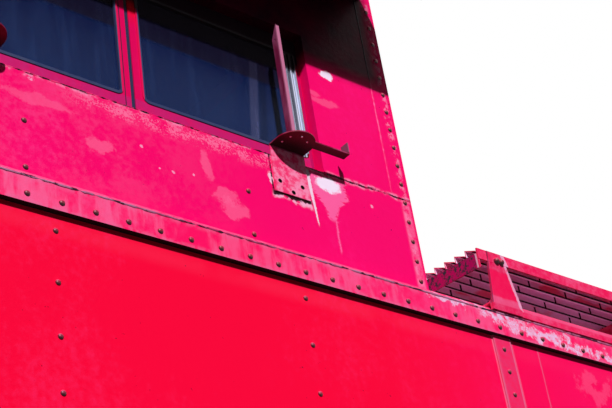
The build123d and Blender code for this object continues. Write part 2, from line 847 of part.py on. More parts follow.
track_ribs = [(0.18, 8), (0.5, 5), (0.82, 8)]  # share of the track's width, height of the rib
sash_post = 200  # from the jamb's edge of the pane to the inner sash's stile
sash_proud = 3
with BuildPart() as cupola_window_frames:
    for side in (-1, 1):
        for hand in (-1, 1):
            sash_depth = (side * (unit_y - unit_thickness), side * (unit_y + sash_proud))
            pane_in_side(sashes[hand], sash_depth, corner, Mode.ADD)
            pane_in_side(lights[hand], sash_depth, corner - 12)
            for share, height in track_ribs:
                rib_x = cupola_x + hand * (light_far + share * track_width)
                block(
                    (rib_x - 3, rib_x + 3), (side * unit_y, side * (unit_y + sash_proud + height)),
                    (pane_low_z + 12, pane_high_z - 12),
                )
            stile_x = cupola_x + hand * (pane_far - sash_post)
            block(
                (stile_x - 13, stile_x + 13),
                (side * (unit_y - unit_thickness - 2), side * (unit_y - unit_thickness + 5)),
                (pane_low_z + 2, pane_high_z - 2),
            )
        # Cover strip over the joint between the two units
        block(
            (cupola_x - unit_gap / 2, cupola_x + unit_gap / 2),
            (side * (unit_y - unit_thickness), side * (unit_y - 4)), (opening_sill_z, opening_top_z),
        )
    for low, high, hand in cupola_end_spans:
        outer_x = high if hand > 0 else low
        for window in cupola_end_windows:
            frame_in_end(window, cupola_end_band, (outer_x - hand * frame_depth, outer_x + hand * sash_proud))
save(cupola_window_frames, "cupola_window_frames")

light_setback = 12
with BuildPart() as cupola_window_glass:
    for side in (-1, 1):
        for hand in (-1, 1):
            pane_in_side(
                lights[hand], (side * (unit_y - light_setback), side * (unit_y - light_setback + glass)),
                corner - 12, Mode.ADD,
            )
    for low, high, hand in cupola_end_spans:
        outer_x = high if hand > 0 else low
        for window in cupola_end_windows:
            pane_in_end(
                inside_frame(window, cupola_end_band),
                (outer_x - hand * pane_setback, outer_x - hand * (pane_setback - glass)), Mode.ADD,
            )
save(cupola_window_glass, "cupola_window_glass")

# Wind wings: a bent quadrant plate with four set holes and an arm, and the bar that held the pane
quadrant_z = belt_row_z + quadrant_above_row
quadrant_x = opening_half_length - quadrant_inset - quadrant_width / 2
quadrant_centre_y = side_y + quadrant_reach - quadrant_width / 2
set_holes = [(-41, 6), (-33, -26), (0, -41.5), (32, -27)]  # x and y from the quadrant's centre
leg_holes = [(-47, 41), (41, 43), (1, 12)]  # x from the centre, height above the leg's lower edge
set_hole_radius = 4
leg_hole_radius = 6.5
arm_tab = 45
arm_reach = 195
arm_offset = 24
arm_width = 31
with BuildPart() as wing_brackets:
    for hand in (-1, 1):
        centre_x = cupola_x + hand * quadrant_x
        with BuildSketch(Plane.XY.offset(quadrant_z)) as plan:
            with Locations((centre_x, -(side_y + quadrant_centre_y) / 2)):
                Rectangle(quadrant_width, quadrant_centre_y - side_y)
            with Locations((centre_x, -quadrant_centre_y)):
                Circle(quadrant_width / 2)
            with BuildSketch(mode=Mode.SUBTRACT):
                with Locations((centre_x, -side_y + quadrant_width)):
                    Rectangle(quadrant_width * 2, quadrant_width * 2)
            with Locations((centre_x + hand * arm_reach / 2, -quadrant_centre_y - arm_offset)):
                Rectangle(arm_reach, arm_width)
            with Locations([(centre_x + hand * x, -quadrant_centre_y + y) for x, y in set_holes]):
                Circle(set_hole_radius, mode=Mode.SUBTRACT)
        extrude(amount=quadrant_plate)
        leg_low_z = quadrant_z - quadrant_leg
        block(
            (centre_x - quadrant_width / 2, centre_x + quadrant_width / 2),
            (-side_y - quadrant_plate, -side_y), (leg_low_z, quadrant_z + quadrant_plate),
        )
        for x, above_bottom in leg_holes:
            hole_x = centre_x + hand * x
            hole_z = leg_low_z + above_bottom
            rod(
                (hole_x, -side_y + 1, hole_z), (hole_x, -side_y - quadrant_plate - 1, hole_z),
                leg_hole_radius, mode=Mode.SUBTRACT,
            )
        arm_end = centre_x + hand * arm_reach
        arm_y = -quadrant_centre_y - arm_offset
        block(
            (arm_end - hand * quadrant_plate, arm_end), (arm_y - arm_width / 2, arm_y + arm_width / 2),
            (quadrant_z, quadrant_z + arm_tab),
        )
    mirror(about=Plane.XZ)
save(wing_brackets, "wing_brackets")

wing_offset = 21
wing_thickness = 4
wing_slant = 50
wing_lip = 10
pane_hole_drop = 8
pane_hole_radius = 3.5
with BuildPart() as wings:
    for hand in (-1, 1):
        bar_x = cupola_x + hand * (quadrant_x - wing_offset)
        foot_z = quadrant_z + quadrant_plate
        head_z = foot_z + wing_height
        inner = -quadrant_centre_y
        outer = inner - wing_width
        with BuildSketch(Plane.YZ.offset(bar_x - wing_thickness / 2)):
            with BuildLine():
                Polyline(
                    (inner, foot_z), (outer, foot_z), (outer, head_z + wing_slant), (inner, head_z),
                    close=True,
                )
            make_face()
        extrude(amount=wing_thickness)
        block(
            (bar_x - wing_thickness / 2, bar_x + wing_lip), (outer - 2, outer + 1),
            (foot_z, head_z + wing_slant - 6),
        )
        hole_y = (inner + outer) / 2
        hole_z = head_z - pane_hole_drop
        rod(
            (bar_x - wing_thickness, hole_y, hole_z), (bar_x + wing_thickness, hole_y, hole_z),
            pane_hole_radius, mode=Mode.SUBTRACT,
        )
    mirror(about=Plane.XZ)
save(wings, "wings")

# Roof walks. Each side has one length before and one behind the cupola: a frame of bearers between two
# bars, held by leaning brackets on a foot angle at the roof's edge and by posts inside.
walk_outer_y = belt_y + walk_outside_belt
walk_inner_y = walk_outer_y - walk_width
bearer_top_z = belt_row_z + bearer_above_row
walk_bar_top_z = belt_row_z + walk_bar_above_row
walk_end = roof_end - 60
foot_low_z = belt_top_z + 7
foot_high_z = foot_low_z + 35
foot_face_y = belt_y + 4
foot_leg_thickness = 7
foot_leg_y = 1300
foot_shelf_z = roof_edge_z + 9
bracket_plate = 5
bracket_offset = 42
bearer_behind_bracket = 20
post_inset = 20
post_width = 40


def walk_plane(y):
    """Height of the bearers' upper edge, which rises towards the middle of the car."""
    return bearer_top_z + walk_slope * (walk_outer_y - y)


walk_runs = [
    (cupola_x + cupola_half + walk_gap_to_cupola, walk_end, 1),
    (cupola_x - cupola_half - walk_gap_to_cupola, -walk_end, -1),
]  # end at the cupola, end at the platform, direction away from the cupola
for name, side in (("left", -1), ("right", 1)):
    with BuildPart() as walk_frames:
        for start, stop, away in walk_runs:
            block(
                (start, stop), (side * walk_outer_y, side * (walk_outer_y - walk_bar_thickness)),
                (walk_bar_top_z - walk_bar_height, walk_bar_top_z),
            )
            inner_bar_y = walk_inner_y + walk_bar_thickness
            block(
                (start, stop), (side * walk_inner_y, side * inner_bar_y),
                (walk_plane(inner_bar_y) - bearer_height, walk_plane(inner_bar_y)),
            )
            foot_start = start + away * bracket_offset
            foot_back_y = foot_face_y - foot_leg_thickness
            block((foot_start, stop), (side * foot_back_y, side * foot_face_y), (foot_low_z, foot_high_z))
            block(
                (foot_start, stop), (side * foot_leg_y, side * foot_face_y), (foot_shelf_z, foot_shelf_z + 6)
            )
            room = abs(stop - start) - bracket_offset - bracket_foot_width
            bracket_count = int(room // bracket_pitch) + 1
            bracket_xs = [start + away * (bracket_offset + bracket_pitch * n) for n in range(bracket_count)]
            bearer_xs = [start, *(x + away * bearer_behind_bracket for x in bracket_xs[1:])]
            for bearer_x in [*bearer_xs, stop - away * walk_bar_thickness]:
                along_x(
                    [
                        (side * (walk_outer_y - 2), walk_plane(walk_outer_y - 2)),
                        (side * (walk_inner_y + 2), walk_plane(walk_inner_y + 2)),
                        (side * (walk_inner_y + 2), walk_plane(walk_inner_y + 2) - bearer_height),
                        (side * (walk_outer_y - 2), walk_plane(walk_outer_y - 2) - bearer_height),
                    ],
                    (bearer_x, bearer_x + away * walk_bar_thickness),
                )
            for bracket_x, bearer_x in zip(bracket_xs, bearer_xs):
                lean = Vector(0, side * (walk_outer_y - foot_face_y), walk_bar_top_z - foot_low_z)
                foot = Plane(
                    origin=(bracket_x, side * (foot_face_y - 1), foot_low_z), x_dir=(away, 0, 0),
                    z_dir=Vector(away, 0, 0).cross(lean),
                )
                with BuildSketch(foot) as plate:
                    Polygon(
                        (0, 0), (bracket_foot_width, 0), (bracket_foot_width, foot_high_z - foot_low_z),
                        (bracket_top_width, lean.length - 2), (0, lean.length - 2), align=None,
                    )
                extrude(plate.sketch, amount=-bracket_plate * side * away)
                post_near_y = walk_inner_y + post_inset
                post_far_y = post_near_y + post_width
                block(
                    (bearer_x, bearer_x + away * walk_bar_thickness), (side * post_near_y, side * post_far_y),
                    (roof_top_z(post_near_y) + 0.5, walk_plane(post_far_y) - bearer_height + 4),
                )
    save(walk_frames, f"walk_frames_{name}")

    # The walk's surface: saw-tooth slats whose risers stand on the bearers
    slat_count = int((walk_width - 2 * walk_bar_thickness) // slat_pitch)
    with BuildPart() as walk_slats:
        for start, stop, away in walk_runs:
            for number in range(slat_count):
                lip_y = walk_outer_y - walk_bar_thickness - 2 - slat_pitch * number
                tip_y = lip_y - slat_depth
                lip_z = walk_plane(lip_y) + slat_lip
                foot_z = walk_plane(tip_y)
                along_x(
                    [
                        (side * lip_y, lip_z + slat_thickness), (side * tip_y, foot_z + slat_tip),
                        (side * tip_y, foot_z), (side * (tip_y + slat_thickness), foot_z),
                        (side * (tip_y + slat_thickness), foot_z + slat_tip - slat_thickness - 2),
                        (side * lip_y, lip_z),
                    ],
                    (start, stop),
                )
    save(walk_slats, f"walk_slats_{name}")

# Railings: posts and rails on the end sills, roof posts at the corners, and grab irons by the steps
rail_radius = 17
rail_x = end_sill_face - 35
rail_top_z = floor_z + 1000
gate_half = 300
corner_post_y = 1268
grab_reach = 70
grab_iron_y = 1215
grab_low_z = 1500
grab_high_z = 2450
grab_width = 22
post_rows = [
    (gate_half, floor_z, rail_top_z), (680, floor_z, rail_top_z), (corner_post_y, deck_underside, plate_z),
]  # y, z of the foot and of the top
with BuildPart() as railings:
    for hand in (-1, 1):
        for side in (-1, 1):
            for y, foot, top in post_rows:
                bar((hand * rail_x, side * y, foot), (hand * rail_x, side * y, top), 2 * rail_radius)
            for level in (rail_top_z, rail_top_z - 500):
                bar(
                    (hand * rail_x, side * gate_half, level), (hand * rail_x, side * corner_post_y, level),
                    2 * rail_radius - 6,
                )
            grab_x = hand * (body_half + grab_reach)
            grab_y = side * grab_iron_y
            for level in (grab_low_z, grab_high_z):
                bar((hand * body_half, grab_y, level), (grab_x, grab_y, level), grab_width)
            grab_foot_z = grab_low_z - grab_width / 2
            grab_head_z = grab_high_z + grab_width / 2
            bar((grab_x, grab_y, grab_foot_z), (grab_x, grab_y, grab_head_z), grab_width)
save(railings, "railings")

# Ladders from the end sill past the roof's end, one at each end on opposite sides
ladder_x = end_sill_face + 14
ladder_stiles = [870, 1190]
ladder_top_z = bearer_top_z + 350
ladder_hoop = 420
ladder_bend = 60
stile_half_depth = 14
stile_thickness = 12
rung_width = 22
rung_pitch = 330
rung_count = 8
lowest_rung_z = sill_top + 90
stile_head_z = lowest_rung_z + rung_pitch * (rung_count - 1) + 60
with BuildPart() as ladders:
    for hand in (-1, 1):
        for stile_y in ladder_stiles:
            block(
                (hand * (ladder_x - stile_half_depth), hand * (ladder_x + stile_half_depth)),
                (-hand * (stile_y - stile_thickness / 2), -hand * (stile_y + stile_thickness / 2)),
                (sill_top, stile_head_z),
            )
            block(
                (hand * roof_end, hand * ladder_x), (-hand * (stile_y - 12), -hand * (stile_y + 12)),
                (plate_z + 40, plate_z + 66),
            )
        for rung in range(rung_count):
            level = lowest_rung_z + rung_pitch * rung
            near, far = ((hand * ladder_x, -hand * stile_y, level) for stile_y in ladder_stiles)
            bar(near, far, rung_width)
save(ladders, "ladders")

# Ladder hoops: each stile goes on as a flat bar bent over the roof's end and down on the walk
with BuildPart() as ladder_hoops:
    for hand in (-1, 1):
        for stile_y in ladder_stiles:
            foot_z = walk_plane(stile_y) + slat_tip + 1
            outer_x = ladder_x + stile_half_depth
            inner_x_of_hoop = ladder_x - ladder_hoop - stile_half_depth
            top = ladder_top_z + stile_half_depth
            under = 2 * stile_half_depth
            along_y(
                [
                    (hand * x, z)
                    for x, z in (
                        (outer_x, stile_head_z), (outer_x, top - ladder_bend), (outer_x - ladder_bend, top),
                        (inner_x_of_hoop + ladder_bend, top), (inner_x_of_hoop, top - ladder_bend),
                        (inner_x_of_hoop, foot_z), (inner_x_of_hoop + under, foot_z),
                        (inner_x_of_hoop + under, top - ladder_bend - 12),
                        (inner_x_of_hoop + ladder_bend + 12, top - under),
                        (outer_x - ladder_bend - 12, top - under), (outer_x - under, top - ladder_bend - 12),
                        (outer_x - under, stile_head_z),
                    )
                ],
                (-hand * (stile_y - stile_thickness / 2), -hand * (stile_y + stile_thickness / 2)),
            )
save(ladder_hoops, "ladder_hoops")

# Couplers: a knuckle head on a square shank that lies on the striker's carrier
shank_half = 65
head_half_height = 140
knuckle_pin = (-118, -122)
knuckle_pin_width = 44
head_outline = [  # x from the pulling face, y
    (-370, -150), (-215, -178), (-95, -196), (-25, -182), (0, -150), (0, -62), (-62, -38),
    (-118, -64), (-150, 8), (-122, 62), (-50, 118), (-6, 186), (-36, 222), (-130, 190), (-215, 132),
    (-370, 120),
]
with BuildPart() as coupler:
    with BuildSketch(Plane.XY.offset(coupler_z - head_half_height)) as head:
        Polygon(*[(pulling_face + x, y) for x, y in head_outline], align=None)
    extrude(amount=2 * head_half_height)
    block(
        (end_sill_back - 300, pulling_face - 340), (-shank_half, shank_half),
        (coupler_z - shank_depth, coupler_z + shank_depth),
    )
    pin_x = pulling_face + knuckle_pin[0]
    bar(
        (pin_x, knuckle_pin[1], coupler_z - head_half_height - 25),
        (pin_x, knuckle_pin[1], coupler_z + head_half_height + 25), knuckle_pin_width,
    )
with BuildPart() as couplers:
    add(coupler.part)
    add(coupler.part.rotate(Axis.Z, 180))
save(couplers, "couplers")

# Hand brakes: a geared housing on the railing at each end and a spoked wheel on its shaft
housing_y = (350, 570)
housing_z = (rail_top_z - 525, rail_top_z + 35)
housing_x = (rail_x + rail_radius - 3, rail_x + rail_radius + 87)
brake_y = sum(housing_y) / 2
brake_z = rail_top_z - 190
brake_wheel_x = housing_x[1] + 34
brake_wheel_radius = 270
brake_rim_width = 24
brake_hub_radius = 32
boss_radius = 60
boss_depth = 8
with BuildPart() as brake_housings:
    for hand in (-1, 1):
        block(
            (hand * housing_x[0], hand * housing_x[1]), (-hand * housing_y[0], -hand * housing_y[1]),
            housing_z,
        )
    chamfer(brake_housings.edges().filter_by(Axis.X), 20)
    for hand in (-1, 1):
        rod(
            (hand * (housing_x[1] - 1), -hand * brake_y, brake_z),
            (hand * (housing_x[1] + boss_depth), -hand * brake_y, brake_z), boss_radius,
        )
save(brake_housings, "brake_housings")
for end, hand in (("a", -1), ("b", 1)):
    with BuildPart() as brake_wheel:
        hub = Vector(hand * brake_wheel_x, -hand * brake_y, brake_z)
        with BuildSketch(Plane.YZ.offset(hub.X - brake_rim_width / 2)):
            with Locations((hub.Y, hub.Z)):
                Circle(brake_wheel_radius)
                Circle(brake_wheel_radius - brake_rim_width, mode=Mode.SUBTRACT)
        extrude(amount=brake_rim_width)
        rod(
            (hand * (housing_x[1] + boss_depth + bearing_clearance), hub.Y, hub.Z),
            (hand * (brake_wheel_x + 22), hub.Y, hub.Z), brake_hub_radius,
        )
        for spoke in range(5):
            tip = hub + Vector(0, 0, brake_wheel_radius - brake_rim_width / 2).rotate(Axis.X, 72 * spoke + 20)
            bar((hub.X, hub.Y, hub.Z), (tip.X, tip.Y, tip.Z), 18)
    save(brake_wheel, f"brake_wheel_{end}")

# Under the floor: an air reservoir and a brake cylinder on hangers, and a box on each side
tank_z = 860
hanger_half = 25
push_rod_end = 1560
with BuildPart() as air_brake_gear:
    for low, high, y, radius in ((-1600, -500, 560, 165), (600, 1180, -520, 140)):  # x, x, y, radius
        rod((low, y, tank_z), (high, y, tank_z), radius)
        for hanger in (low + 150, high - 150):
            block(
                (hanger - hanger_half, hanger + hanger_half), (y - radius + 30, y + radius - 30),
                (tank_z + 10, deck_underside),
            )
    bar((1180, -520, tank_z), (push_rod_end, -520, tank_z), 48)
save(air_brake_gear, "air_brake_gear")

box_low_z_below_floor = 640
with BuildPart() as equipment_boxes:
    block((-900, 300), (-1260, -880), (box_low_z_below_floor, sill_top))
    block((100, 1500), (880, 1260), (box_low_z_below_floor, sill_top))
    chamfer(equipment_boxes.edges().filter_by(Axis.X), 12)
save(equipment_boxes, "equipment_boxes")

# Stove and its pipe, which comes out through the roof as the smoke jack
stove_radius = 215
stove_leg_height = 120
stove_body_height = 560
stove_shoulder = 90
leg_offset = 130
leg_half = 16
cap_z = 3990
cap_height = 90
with BuildPart() as stove:
    with Locations((stove_x, stove_y, floor_z + stove_leg_height)):
        Cylinder(stove_radius, stove_body_height, align=(Align.CENTER, Align.CENTER, Align.MIN))
    with Locations((stove_x, stove_y, floor_z + stove_leg_height + stove_body_height)):
        Cylinder(pipe_radius + 20, stove_shoulder, align=(Align.CENTER, Align.CENTER, Align.MIN))
    for hand in (-1, 1):
        for side in (-1, 1):
            leg_x = stove_x + hand * leg_offset
            leg_y = stove_y + side * leg_offset
            block(
                (leg_x - leg_half, leg_x + leg_half), (leg_y - leg_half, leg_y + leg_half),
                (floor_z, floor_z + stove_leg_height + 5),
            )
save(stove, "stove")
with BuildPart() as smoke_jack:
    rod(
        (stove_x, stove_y, floor_z + stove_leg_height + stove_body_height + stove_shoulder),
        (stove_x, stove_y, cap_z), pipe_radius,
    )
    with Locations((stove_x, stove_y, roof_top_z(stove_y) + 5)):
        Cylinder(pipe_radius + 55, 50)
    add(roof.part, mode=Mode.SUBTRACT)
    with Locations((stove_x, stove_y, cap_z)):
        Cylinder(pipe_radius + 45, cap_height)
save(smoke_jack, "smoke_jack")

# Cupola seats on their lockers, and the cabin's desk and bunks
locker_top = 2450
locker_half = 760
locker_y = 720
seat_offset = 430
seat_half = 230
seat_y = (760, 1240)
seat_top = 2960
cushion = 110
back_depth = 80
back_top = 3520
with BuildPart() as cupola_seats:
    for side in (-1, 1):
        block(
            (cupola_x - locker_half, cupola_x + locker_half), (side * locker_y, side * inner_y),
            (floor_z, locker_top),
        )
        across = (side * seat_y[0], side * seat_y[1])
        for hand in (-1, 1):
            seat = cupola_x + hand * seat_offset
            pedestal_z = (locker_top - 1, seat_top - cushion + 10)
            block((seat - 60, seat + 60), (side * 930, side * 1050), pedestal_z)
            block((seat - seat_half, seat + seat_half), across, (seat_top - cushion, seat_top))
            back = seat + hand * (seat_half + 20)
            block((back, back - hand * back_depth), across, (seat_top - 10, back_top))
save(cupola_seats, "cupola_seats")

desk_x = (900, 1900)
desk_front = 760
desk_leg = 40
desk_top = floor_z + 740
with BuildPart() as desk:
    block(desk_x, (-inner_y, -desk_front), (desk_top - desk_leg, desk_top))
    for x in (desk_x[0] + 20, desk_x[1] - 20 - desk_leg):
        block((x, x + desk_leg), (-inner_y, -desk_front - 20), (floor_z, desk_top - desk_leg + 1))
save(desk, "desk")

bunk_front = 650
bunk_height = 480
mattress = 110
with BuildPart() as bunks:
    for low, high, side in ((2300, 4200, -1), (-4200, -2300, 1)):  # x, x, side
        block((low, high), (side * bunk_front, side * inner_y), (floor_z, floor_z + bunk_height))
        block(
            (low + 10, high - 10), (side * (bunk_front + 10), side * (inner_y - 10)),
            (floor_z + bunk_height - 1, floor_z + bunk_height + mattress),
        )
save(bunks, "bunks")
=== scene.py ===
import math
import random

import bpy
from mathutils import Matrix, Vector


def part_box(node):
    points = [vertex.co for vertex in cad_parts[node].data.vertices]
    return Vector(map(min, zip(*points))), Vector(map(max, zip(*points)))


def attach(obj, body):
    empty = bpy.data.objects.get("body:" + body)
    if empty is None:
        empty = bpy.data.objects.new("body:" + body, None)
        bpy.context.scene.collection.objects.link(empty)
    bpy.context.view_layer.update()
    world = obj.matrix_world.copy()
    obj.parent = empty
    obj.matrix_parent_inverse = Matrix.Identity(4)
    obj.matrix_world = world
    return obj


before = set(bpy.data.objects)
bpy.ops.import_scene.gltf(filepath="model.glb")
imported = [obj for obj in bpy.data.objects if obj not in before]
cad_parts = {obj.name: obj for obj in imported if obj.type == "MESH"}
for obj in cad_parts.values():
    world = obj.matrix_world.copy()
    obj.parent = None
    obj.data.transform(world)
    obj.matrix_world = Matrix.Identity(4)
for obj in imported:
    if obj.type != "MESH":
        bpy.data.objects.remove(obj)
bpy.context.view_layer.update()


# The wheelsets are wheels of rolled steel, pressed onto their axles. The tread and the flange's throat are
# worn bright by the rail, rim and web are brown with rust and dust, and the axle is oily near its journals.
class Reading:
    """What a shader socket gives over a surface. Arithmetic on it adds Math nodes to its tree."""

    def __init__(self, nodes, socket):
        self.nodes = nodes
        self.socket = socket

    def combined(self, operation, first, second):
        return self.nodes.node("Math", [first, second], operation=operation)

    def __add__(self, other):
        return self.combined("ADD", self, other)

    def __sub__(self, other):
        return self.combined("SUBTRACT", self, other)

    def __rsub__(self, other):
        return self.combined("SUBTRACT", other, self)

    def __mul__(self, other):
        return self.combined("MULTIPLY", self, other)

    def __truediv__(self, other):
        return self.combined("DIVIDE", self, other)

    def __pow__(self, other):
        return self.combined("POWER", self, other)

    def __mod__(self, other):
        return self.combined("FLOORED_MODULO", self, other)

    def __or__(self, other):
        return self.combined("MAXIMUM", self, other)

    def __abs__(self):
        return self.nodes.node("Math", [self], operation="ABSOLUTE")

    __radd__ = __add__
    __rmul__ = __mul__

    def over(self, edge, soft):
        """1 where this is over the edge and 0 under it, with a soft step between."""
        step = {"Value": self, "From Min": edge - soft, "From Max": edge + soft}
        return self.nodes.node("MapRange", step, interpolation_type="SMOOTHSTEP")

    def under(self, edge, soft):
        return 1 - self.over(edge, soft)

    def between(self, low, high, soft):
        return self.over(low, soft) * self.under(high, soft)


class Nodes:
    """A node tree, emptied, and the one way to add nodes to it."""

    def __init__(self, owner):
        owner.use_nodes = True
        self.tree = owner.node_tree
        self.tree.nodes.clear()

    def node(self, kind, values, output=0, **settings):
        made = self.tree.nodes.new("ShaderNode" + kind)
        for setting, choice in settings.items():
            setattr(made, setting, choice)
        for key, value in values.items() if isinstance(values, dict) else enumerate(values):
            socket = made.inputs[key]
            if isinstance(value, Reading):
                self.tree.links.new(value.socket, socket)
            elif socket.type == "RGBA":
                socket.default_value = (*value, 1)
            else:
                socket.default_value = value
        return Reading(self, made.outputs[output]) if made.outputs else None

    def mix(self, share, first, second):
        return self.node("Mix", {0: share, 6: first, 7: second}, output=2, data_type="RGBA")


class Finish(Nodes):
    """One finish of the caboose: its material, the place on the car, and what varies over it."""

    def __init__(self, name, slot):
        self.slot = slot
        self.material = bpy.data.materials.new(name)
        super().__init__(self.material)
        self.place = self.node("TexCoord", {}, output="Object")
        self.x, self.y, self.z = (self.node("SeparateXYZ", [self.place], output=axis) for axis in "XYZ")
        facing = self.node("TexCoord", {}, output="Normal")
        self.facing_y, self.facing_z = (self.node("SeparateXYZ", [facing], output=axis) for axis in "YZ")

    def clouds(self, size, detail=3.0, stretch=(1, 1, 1), roughness=0.55):
        """Noise of about that size in metres, around 0.5, longer along an axis whose stretch is over 1."""
        scale = tuple(1 / (size * share) for share in stretch)
        place = self.node("VectorMath", [self.place, scale], operation="MULTIPLY")
        values = {"Vector": place, "Scale": 1.0, "Detail": detail, "Roughness": roughness}
        return self.node("TexNoise", values, output="Fac")

    def surface(self, colour, roughness, height=None, depth=0.001, **constants):
        """The shader. Height over the surface becomes bump, and the constants go on its own sockets."""
        values = {key.replace("_", " "): value for key, value in constants.items()}
        values.update({"Base Color": colour, "Roughness": roughness})
        if height is not None:
            values["Normal"] = self.node("Bump", {"Height": height, "Distance": depth}, output="Normal")
        shader = self.node("BsdfPrincipled", values)
        self.node("OutputMaterial", [shader])
        return self

    def on(self, *nodes):
        for node in nodes:
            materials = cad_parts[node].data.materials
            materials.clear()
            materials.append(self.material)
        return self


def paint(red, green, blue):
    """A colour as on a paint card, 0 to 255, in linear light."""
    return tuple(((share / 255 + 0.055) / 1.055) ** 2.4 for share in (red, green, blue))


flange_height = 0.025
rim_outside_y = 0.79
oily_radius, oily_from_y = 0.09, 0.6


def rolled_steel(wheelset):
    """The finish of one wheelset, drawn in rings round its own axle."""
    low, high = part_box(wheelset)
    axle_x, axle_z = (low.x + high.x) / 2, (low.z + high.z) / 2
    tread_radius = (high.z - low.z) / 2 - flange_height
    steel = Finish(f"rolled_steel_{wheelset}", "wheel_steel")
    along, up = steel.x - axle_x, steel.z - axle_z
    radius = (along * along + up * up) ** 0.5
    bright = radius.over(tread_radius - 0.006, 0.004) * abs(steel.y).under(rim_outside_y, 0.01)
    oily = radius.under(oily_radius, 0.02) * abs(steel.y).over(oily_from_y, 0.1)
    rust = steel.mix(steel.clouds(0.12, 5).over(0.5, 0.14), paint(92, 58, 42), paint(58, 45, 40))
    dusty = steel.mix(steel.clouds(0.4).over(0.55, 0.2) * 0.5, rust, paint(128, 104, 84))
    colour = steel.mix(oily, dusty, paint(30, 27, 25))
    colour = steel.mix(bright, colour, paint(176, 172, 166))
    grain = steel.clouds(0.006, 4)
    steel.surface(colour, 0.75 - bright * 0.45, grain, 0.0008, Metallic=bright * 0.9).on(wheelset)


for wheelset in ("wheelset_a1", "wheelset_a2", "wheelset_b1", "wheelset_b2"):
    rolled_steel(wheelset)


# The truck side frames, bolsters and couplers are cast steel, left black and grown rusty. Sand from the
# mould shows in their skin, and dust lies on top. The springs are opposed packs of curved steel leaves,
# brown with rust.
cast_iron = Finish("cast_iron", "truck_iron")
iron_rust = cast_iron.clouds(0.16, 6).over(0.56, 0.09)
iron_dust = cast_iron.facing_z.over(0.6, 0.3) * cast_iron.clouds(0.3).over(0.42, 0.2)
iron_colour = cast_iron.mix(iron_rust * 0.8, paint(48, 43, 41), paint(98, 60, 42))
iron_colour = cast_iron.mix(iron_dust * 0.7, iron_colour, paint(132, 118, 102))
sand_skin = cast_iron.clouds(0.008, 5)
cast_iron.surface(iron_colour, 0.6 + iron_rust * 0.3, sand_skin, 0.0012, Specular_IOR_Level=0.3)
cast_iron.on("truck_sides_a", "truck_sides_b", "truck_bolster_a", "truck_bolster_b", "couplers")

spring_leaves = Finish("spring_leaves", "spring_steel")
leaf_rust = spring_leaves.clouds(0.05, 5).over(0.52, 0.1)
leaf_colour = spring_leaves.mix(leaf_rust, paint(52, 44, 40), paint(112, 66, 42))
spring_leaves.surface(leaf_colour, 0.45 + leaf_rust * 0.4, spring_leaves.clouds(0.004, 3), 0.0006)
spring_leaves.on("truck_springs_a", "truck_springs_b")


# The underframe, brake gear and boxes below the floor are riveted steel in black car cement, gone grey and
# brown with road dust that lies thick on what faces up and is thrown up from the wheels.
car_cement = Finish("car_cement", "frame_black")
cement_dust = car_cement.facing_z.over(0.5, 0.4) * 0.6 + car_cement.clouds(0.5, 4).over(0.55, 0.2) * 0.4
cement_rust = car_cement.clouds(0.09, 6).over(0.62, 0.06)
cement_colour = car_cement.mix(cement_dust * 0.8, paint(44, 41, 42), paint(112, 100, 88))
cement_colour = car_cement.mix(cement_rust * 0.85, cement_colour, paint(104, 58, 38))
car_cement.surface(cement_colour, 0.62 + cement_rust * 0.25, car_cement.clouds(0.01, 4), 0.0008)
car_cement.on("underframe", "draft_sills", "end_sills", "air_brake_gear", "equipment_boxes", "platforms")


# The floor is of tongued planks, laid along the car on the floor beams and scuffed grey down the aisle. The
# desk is made of the same boards.
floor_planks = Finish("floor_planks", "floor_wood")
plank_width, gap_half, aisle_half = 0.14, 0.003, 0.5
plank_gap = abs(floor_planks.y % plank_width - plank_width / 2).over(plank_width / 2 - gap_half, 0.002)
plank_grain = floor_planks.clouds(0.012, 6, stretch=(26, 1, 1))
plank_tone = floor_planks.clouds(0.14, 1, stretch=(30, 1, 1))
plank_colour = floor_planks.mix(plank_grain.over(0.5, 0.25), paint(150, 116, 82), paint(104, 74, 50))
plank_colour = floor_planks.mix(plank_tone.over(0.5, 0.2) * 0.4, plank_colour, paint(84, 66, 52))
scuffed = abs(floor_planks.y).under(aisle_half, 0.25) * floor_planks.clouds(0.5).over(0.45, 0.2)
plank_colour = floor_planks.mix(scuffed * 0.5, plank_colour, paint(140, 128, 114))
plank_colour = floor_planks.mix(plank_gap, plank_colour, paint(26, 20, 17))
floor_planks.surface(plank_colour, 0.7, plank_grain - plank_gap * 2, 0.002)
floor_planks.on("floor", "desk")


# The sides are steel sheets riveted to the posts behind them, in bright red enamel that has gone to rose
# where the sun stands. Rain has drawn pale streaks down it, and dust and rust cling along the foot of the
# car.
column_pitch, body_half = 0.825, 4.5375
columns = [column_pitch * number - body_half for number in range(12)]
belt_row_z = 3.125
rivet_pitch = 0.1016
rivet_row_x = -1.3285


def red_enamel(name, slot, fresh, faded, share):
    """Old red enamel before its own marks: fresh and faded clouds, rain streaks and rust pinholes."""
    red = Finish(name, slot)
    blotches = red.clouds(0.9, 5)
    streaks = red.clouds(0.05, 4, stretch=(1, 1, 10))
    red.mottle = red.clouds(0.02, 6, roughness=0.68)
    aged = (blotches + (streaks - 0.5) * 0.25 + (red.mottle - 0.5) * 0.7).over(1 - share, 0.2)
    red.colour = red.mix(aged * 0.8, fresh, faded)
    pinholes = red.clouds(0.013, 2).over(0.76, 0.03) * red.clouds(0.3).over(0.5, 0.1)
    red.colour = red.mix(pinholes, red.colour, paint(84, 12, 34))
    red.rough = 0.5 + aged * 0.25 + (red.mottle - 0.5) * 0.2
    red.skin = red.mottle * 0.6 + blotches * 0.4
    return red


